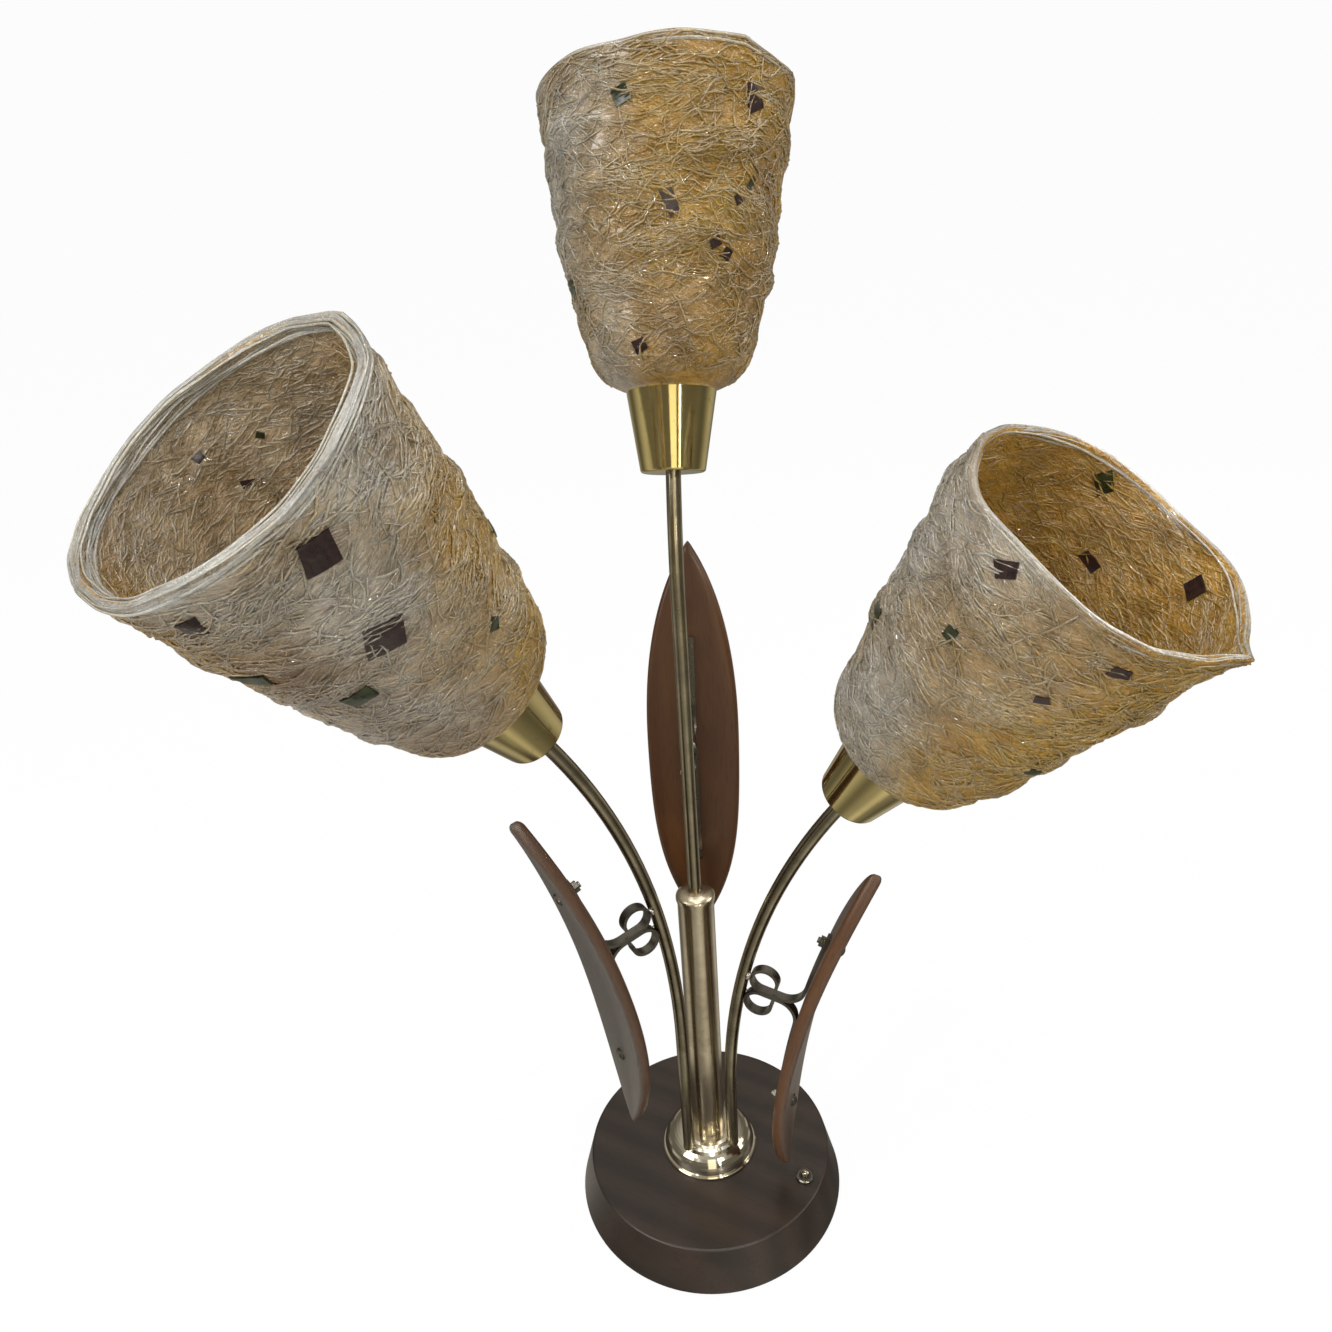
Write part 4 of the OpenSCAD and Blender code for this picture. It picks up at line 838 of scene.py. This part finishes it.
def leafSection(half, soft):
    # a rounded rectangle round each section, with flat steps along both broad sides; w
    # runs across the leaf and d through it
    shape, n = leafShape, leafShape["corner"]
    thick = shape["thick"] / 2
    start = np.repeat(np.arange(4), n)[None]
    turns = np.tile(np.linspace(0, math.pi / 2, n), 4)[None] + start * math.pi / 2
    sideX = np.where((start == 0) | (start == 3), 1.0, -1.0)
    sideY = np.where(start < 2, 1.0, -1.0)
    w = sideX * (half - soft) + soft * np.cos(turns)
    d = sideY * (thick - soft) + soft * np.sin(turns)
    top = np.linspace(-1, 1, shape["across"])[1:-1][::-1][None] * (half - soft)
    w = np.concatenate([w[:, :n], top, w[:, n:3 * n], -top, w[:, 3 * n:]], axis=1)
    d = np.concatenate([d[:, :n], thick + 0 * top, d[:, n:3 * n], -thick + 0 * top, d[:, 3 * n:]], axis=1)
    return w, d


def makeLeaf(name, seed):
    # A flat board with rounded edges, bent along its length, of half width width/2 (1 -
    # |u|^full)^blunt for u from -1 to 1. A point at height z and depth d lies on an arc of
    # radius back - d, and over the last few millimetres the thickness falls off as a half
    # round nose. The grain follows the outline.
    shape = leafShape
    back, along, across, out = leafFrame(name)
    face = (shape["length"] ** 2 / 4 + shape["curl"] ** 2) / (2 * shape["curl"])
    backRadius = face + shape["thick"]
    u = np.sin(np.linspace(-math.pi / 2, math.pi / 2, shape["rows"]))[:, None] * shape["tip"]
    half = shape["width"] / 2 * (1 - np.abs(u) ** shape["full"]) ** shape["blunt"]
    rng = np.random.default_rng(seed)
    half = half + shape["uneven"] * np.sin(u * 6 + rng.uniform(0, 6)) * (1 - np.abs(u))
    w, d = leafSection(half, np.minimum(shape["edge"], half * 0.95))
    z = u * shape["length"] / 2 + 0 * w
    past = np.clip((np.abs(z) - shape["length"] / 2) / shape["nose"] + 1, 0, 1)
    depth = d * np.sqrt(1 - 0.96 * past ** 2) + shape["thick"] / 2
    arc = backRadius - depth
    lean = np.arcsin(z / arc)
    away = backRadius - arc * np.cos(lean)
    points = back / mm + z[..., None] * along + w[..., None] * across + away[..., None] * out
    grain = np.stack([z, w / half * shape["width"] / 2 + 3 * seed, depth], -1) * mm
    columns = w.shape[1]
    low = np.arange(columns // 2 - 1)
    foot = np.stack([low, low + 1, columns - 2 - low, columns - 1 - low], -1)
    faces = np.concatenate([gridFaces(len(u), columns), foot, foot[:, ::-1] + (len(u) - 1) * columns])
    # painted sheen: full on the leaf's outer face, a quarter of it elsewhere, scaled for each leaf
    front = np.clip((d / shape["thick"] * 2 - 0.5) / 0.4, 0, 1)
    faded = (0.25 + 0.75 * front) * shape["faded"][name] + 0 * z
    piece = putMesh(name.replace("_leaf", "Leaf"), points.reshape(-1, 3) * mm, faces, looks["leafWood"],
                    {"grain": grain.reshape(-1, 3), "faded": faded.ravel()})
    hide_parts(name)


for seed, name in enumerate(leafShape["faded"]):
    makeLeaf(name, seed + 1)
print("leaves made")


solderShape = {"radius": 2.4, "flat": 0.6, "uneven": 0.16, "waves": 3.1, "seed": 5}


def makeSolder():
    # a bead where the curl of each strap rests against its stem: a ball of uneven radius,
    # flattened along the line between the nearest points of the two pieces
    shape = solderShape
    graph = bpy.context.evaluated_depsgraph_get()
    stems = [BVHTree.FromObject(node, graph) for name, node in nodes.items() if name.endswith("_stem")]
    ball = bmesh.new()
    bmesh.ops.create_icosphere(ball, subdivisions=3, radius=1)
    unit = np.array([v.co for v in ball.verts])
    triangles = np.array([[v.index for v in face.verts] for face in ball.faces])
    ball.free()
    rng = np.random.default_rng(shape["seed"])
    points, faces = [], []
    for name, node in nodes.items():
        if not name.endswith(("_upper", "_lower")):
            continue
        corners = [Vector(v) for v in np.unique(np.round(cadPoints(node), 6), axis=0)]
        found = [(tree.find_nearest(v), v) for v in corners for tree in stems]
        (stemPoint, _, _, _), strapPoint = min(found, key=lambda pair: pair[0][3])
        centre = (np.array(stemPoint) + np.array(strapPoint)) / 2
        gap = np.array(strapPoint) - np.array(stemPoint)
        gap /= np.linalg.norm(gap)
        waved = np.sin(unit * shape["waves"] + rng.uniform(0, 6, 3)).sum(1) / 3
        bead = unit * (1 + shape["uneven"] * waved[:, None])
        bead = bead - (bead @ gap)[:, None] * gap * (1 - shape["flat"])
        faces.append(triangles + len(unit) * len(points))
        points.append(centre + bead * shape["radius"] * mm)
    putMesh("solderBeads", np.concatenate(points), np.concatenate(faces), looks["solder"])


makeSolder()
print("solder made")


stageShape = {"floor": 40.0, "below": 0.0003, "paper": (0.93, 0.93, 0.93), "whitened": 0.96,
              "backdrop": 0.973, "mirrored": (1.0, 0.94, 0.80),
              "sectors": (0.50, 0.16, 0.34, 0.60, 0.22, 0.12, 0.46, 0.16, 0.34, 0.12),
              "room": (0.86, 0.85, 0.83), "roomStrength": 0.43,
              "ceiling": ((0.35, (0.15, 0.135, 0.11)), (0.95, (0.60, 0.57, 0.51)))}


def makeFloor():
    # pale paper: partly plain white for camera and clear rays; mirror rays see it dim, in
    # light and dark sectors round the lamp, as the windows and walls of a room would lie
    shape = stageShape
    half = shape["floor"] / 2
    corners = [(x * half, y * half, 0) for x, y in ((-1, -1), (1, -1), (1, 1), (-1, 1))]
    mesh = bpy.data.meshes.new("floor")
    mesh.from_pydata(corners, [], [(0, 1, 2, 3)])
    mesh.materials.append(bpy.data.materials.new("palePaper"))
    tree = Nodes(mesh.materials[0])
    at = tree.node("TexCoord", {}, {}, "Object")
    around = tree.node("TexGradient", {"gradient_type": "RADIAL"}, {"Vector": at}, "Fac")
    levels = (*shape["sectors"], shape["sectors"][0])
    ramp = tree.ramp(around, *((i / (len(levels) - 1), [level * part for part in shape["mirrored"]])
                               for i, level in enumerate(levels)))
    ramp.socket.node.color_ramp.interpolation = "EASE"
    tree.sortRays(tree.node("BsdfDiffuse", {}, {"Color": shape["paper"]}),
                  tree.node("Emission", {}, {}),
                  tree.node("Emission", {}, {"Color": ramp}), shape["whitened"])
    floor = bpy.data.objects.new("floor", mesh)
    bpy.context.scene.collection.objects.link(floor)
    floor.location = (0, 0, -shape["below"])


def makeWorld():
    # soft grey room for diffuse rays, white for camera and clear rays, and for mirror rays
    # a dim room that is brighter towards its ceiling
    shape = stageShape
    world = bpy.data.worlds.new("room")
    bpy.context.scene.world = world
    tree = Nodes(world, "OutputWorld")
    height = tree.node("SeparateXYZ", {}, {0: tree.node("TexCoord", {}, {}, "Generated")}, "Z")
    room = {"Color": shape["room"], "Strength": shape["roomStrength"]}
    tree.sortRays(tree.node("Background", {}, room),
                  tree.node("Background", {}, {"Color": [shape["backdrop"]] * 3}),
                  tree.node("Background", {}, {"Color": tree.ramp(height, *shape["ceiling"])}))


# each lamp: place and size in metres, watts, tint; the three small ones make the glints
lamps = {
    "window": ((-1.5, -0.9, 1.5), (0.9, 1.5), 15.5, (1.0, 0.975, 0.94)),
    "front": ((0.1, -2.1, 1.0), (0.7, 1.6), 5, (1.0, 0.90, 0.66)),
    "strip": ((0.75, -1.9, 1.1), (0.10, 1.5), 5, (1.0, 0.98, 0.94)),
    "right": ((1.7, 0.1, 1.3), (0.8, 1.2), 8, (1.0, 0.95, 0.88)),
    "top": ((0.1, 0.2, 2.0), (1.2, 1.2), 9, (1.0, 1.0, 1.0)),
    "sparkLeft": ((-0.9, -1.3, 1.5), (0.07, 0.07), 8.0, (1.0, 0.98, 0.95)),
    "sparkRight": ((0.85, -1.4, 1.35), (0.06, 0.06), 4.8, (1.0, 0.95, 0.86)),
    "sparkTop": ((0.1, -0.7, 1.9), (0.07, 0.07), 4.5, (1.0, 1.0, 1.0)),
}
lampAim = (0, 0, 0.32)


def makeLamps():
    for name, (at, size, watts, tint) in lamps.items():
        light = bpy.data.lights.new(name, "AREA")
        light.shape = "RECTANGLE"
        light.size, light.size_y = size
        light.energy, light.color = watts, tint
        lamp = bpy.data.objects.new(name, light)
        lamp.location = at
        aim = Vector(lampAim) - Vector(at)
        lamp.rotation_euler = aim.to_track_quat("-Z", "Y").to_euler()
        bpy.context.scene.collection.objects.link(lamp)


# fitted to points of the photograph: focal length in pixels of its 1332 pixel frame
cameraFit = {"focal": 1040.36, "frame": 1332, "sensor": 36, "clip": (0.02, 100),
             "at": (0, -0.45274, 0.57525),
             "forward": (-0.0153, 0.9004, -0.4348), "up": (0.0581, 0.4349, 0.8986)}


def makeCamera():
    data = bpy.data.cameras.new("photoView")
    data.sensor_width = cameraFit["sensor"]
    data.lens = cameraFit["sensor"] * cameraFit["focal"] / cameraFit["frame"]
    data.clip_start, data.clip_end = cameraFit["clip"]
    camera = bpy.data.objects.new("photoView", data)
    forward = Vector(cameraFit["forward"]).normalized()
    right = forward.cross(Vector(cameraFit["up"])).normalized()
    up = right.cross(forward)
    turn = Matrix((right, up, -forward)).transposed()
    camera.matrix_world = Matrix.Translation(Vector(cameraFit["at"])) @ turn.to_4x4()
    bpy.context.scene.collection.objects.link(camera)
    bpy.context.scene.camera = camera


makeFloor()
makeWorld()
makeLamps()
makeCamera()
bpy.context.scene.view_settings.view_transform = "Standard"
print("stage, lights and camera made")
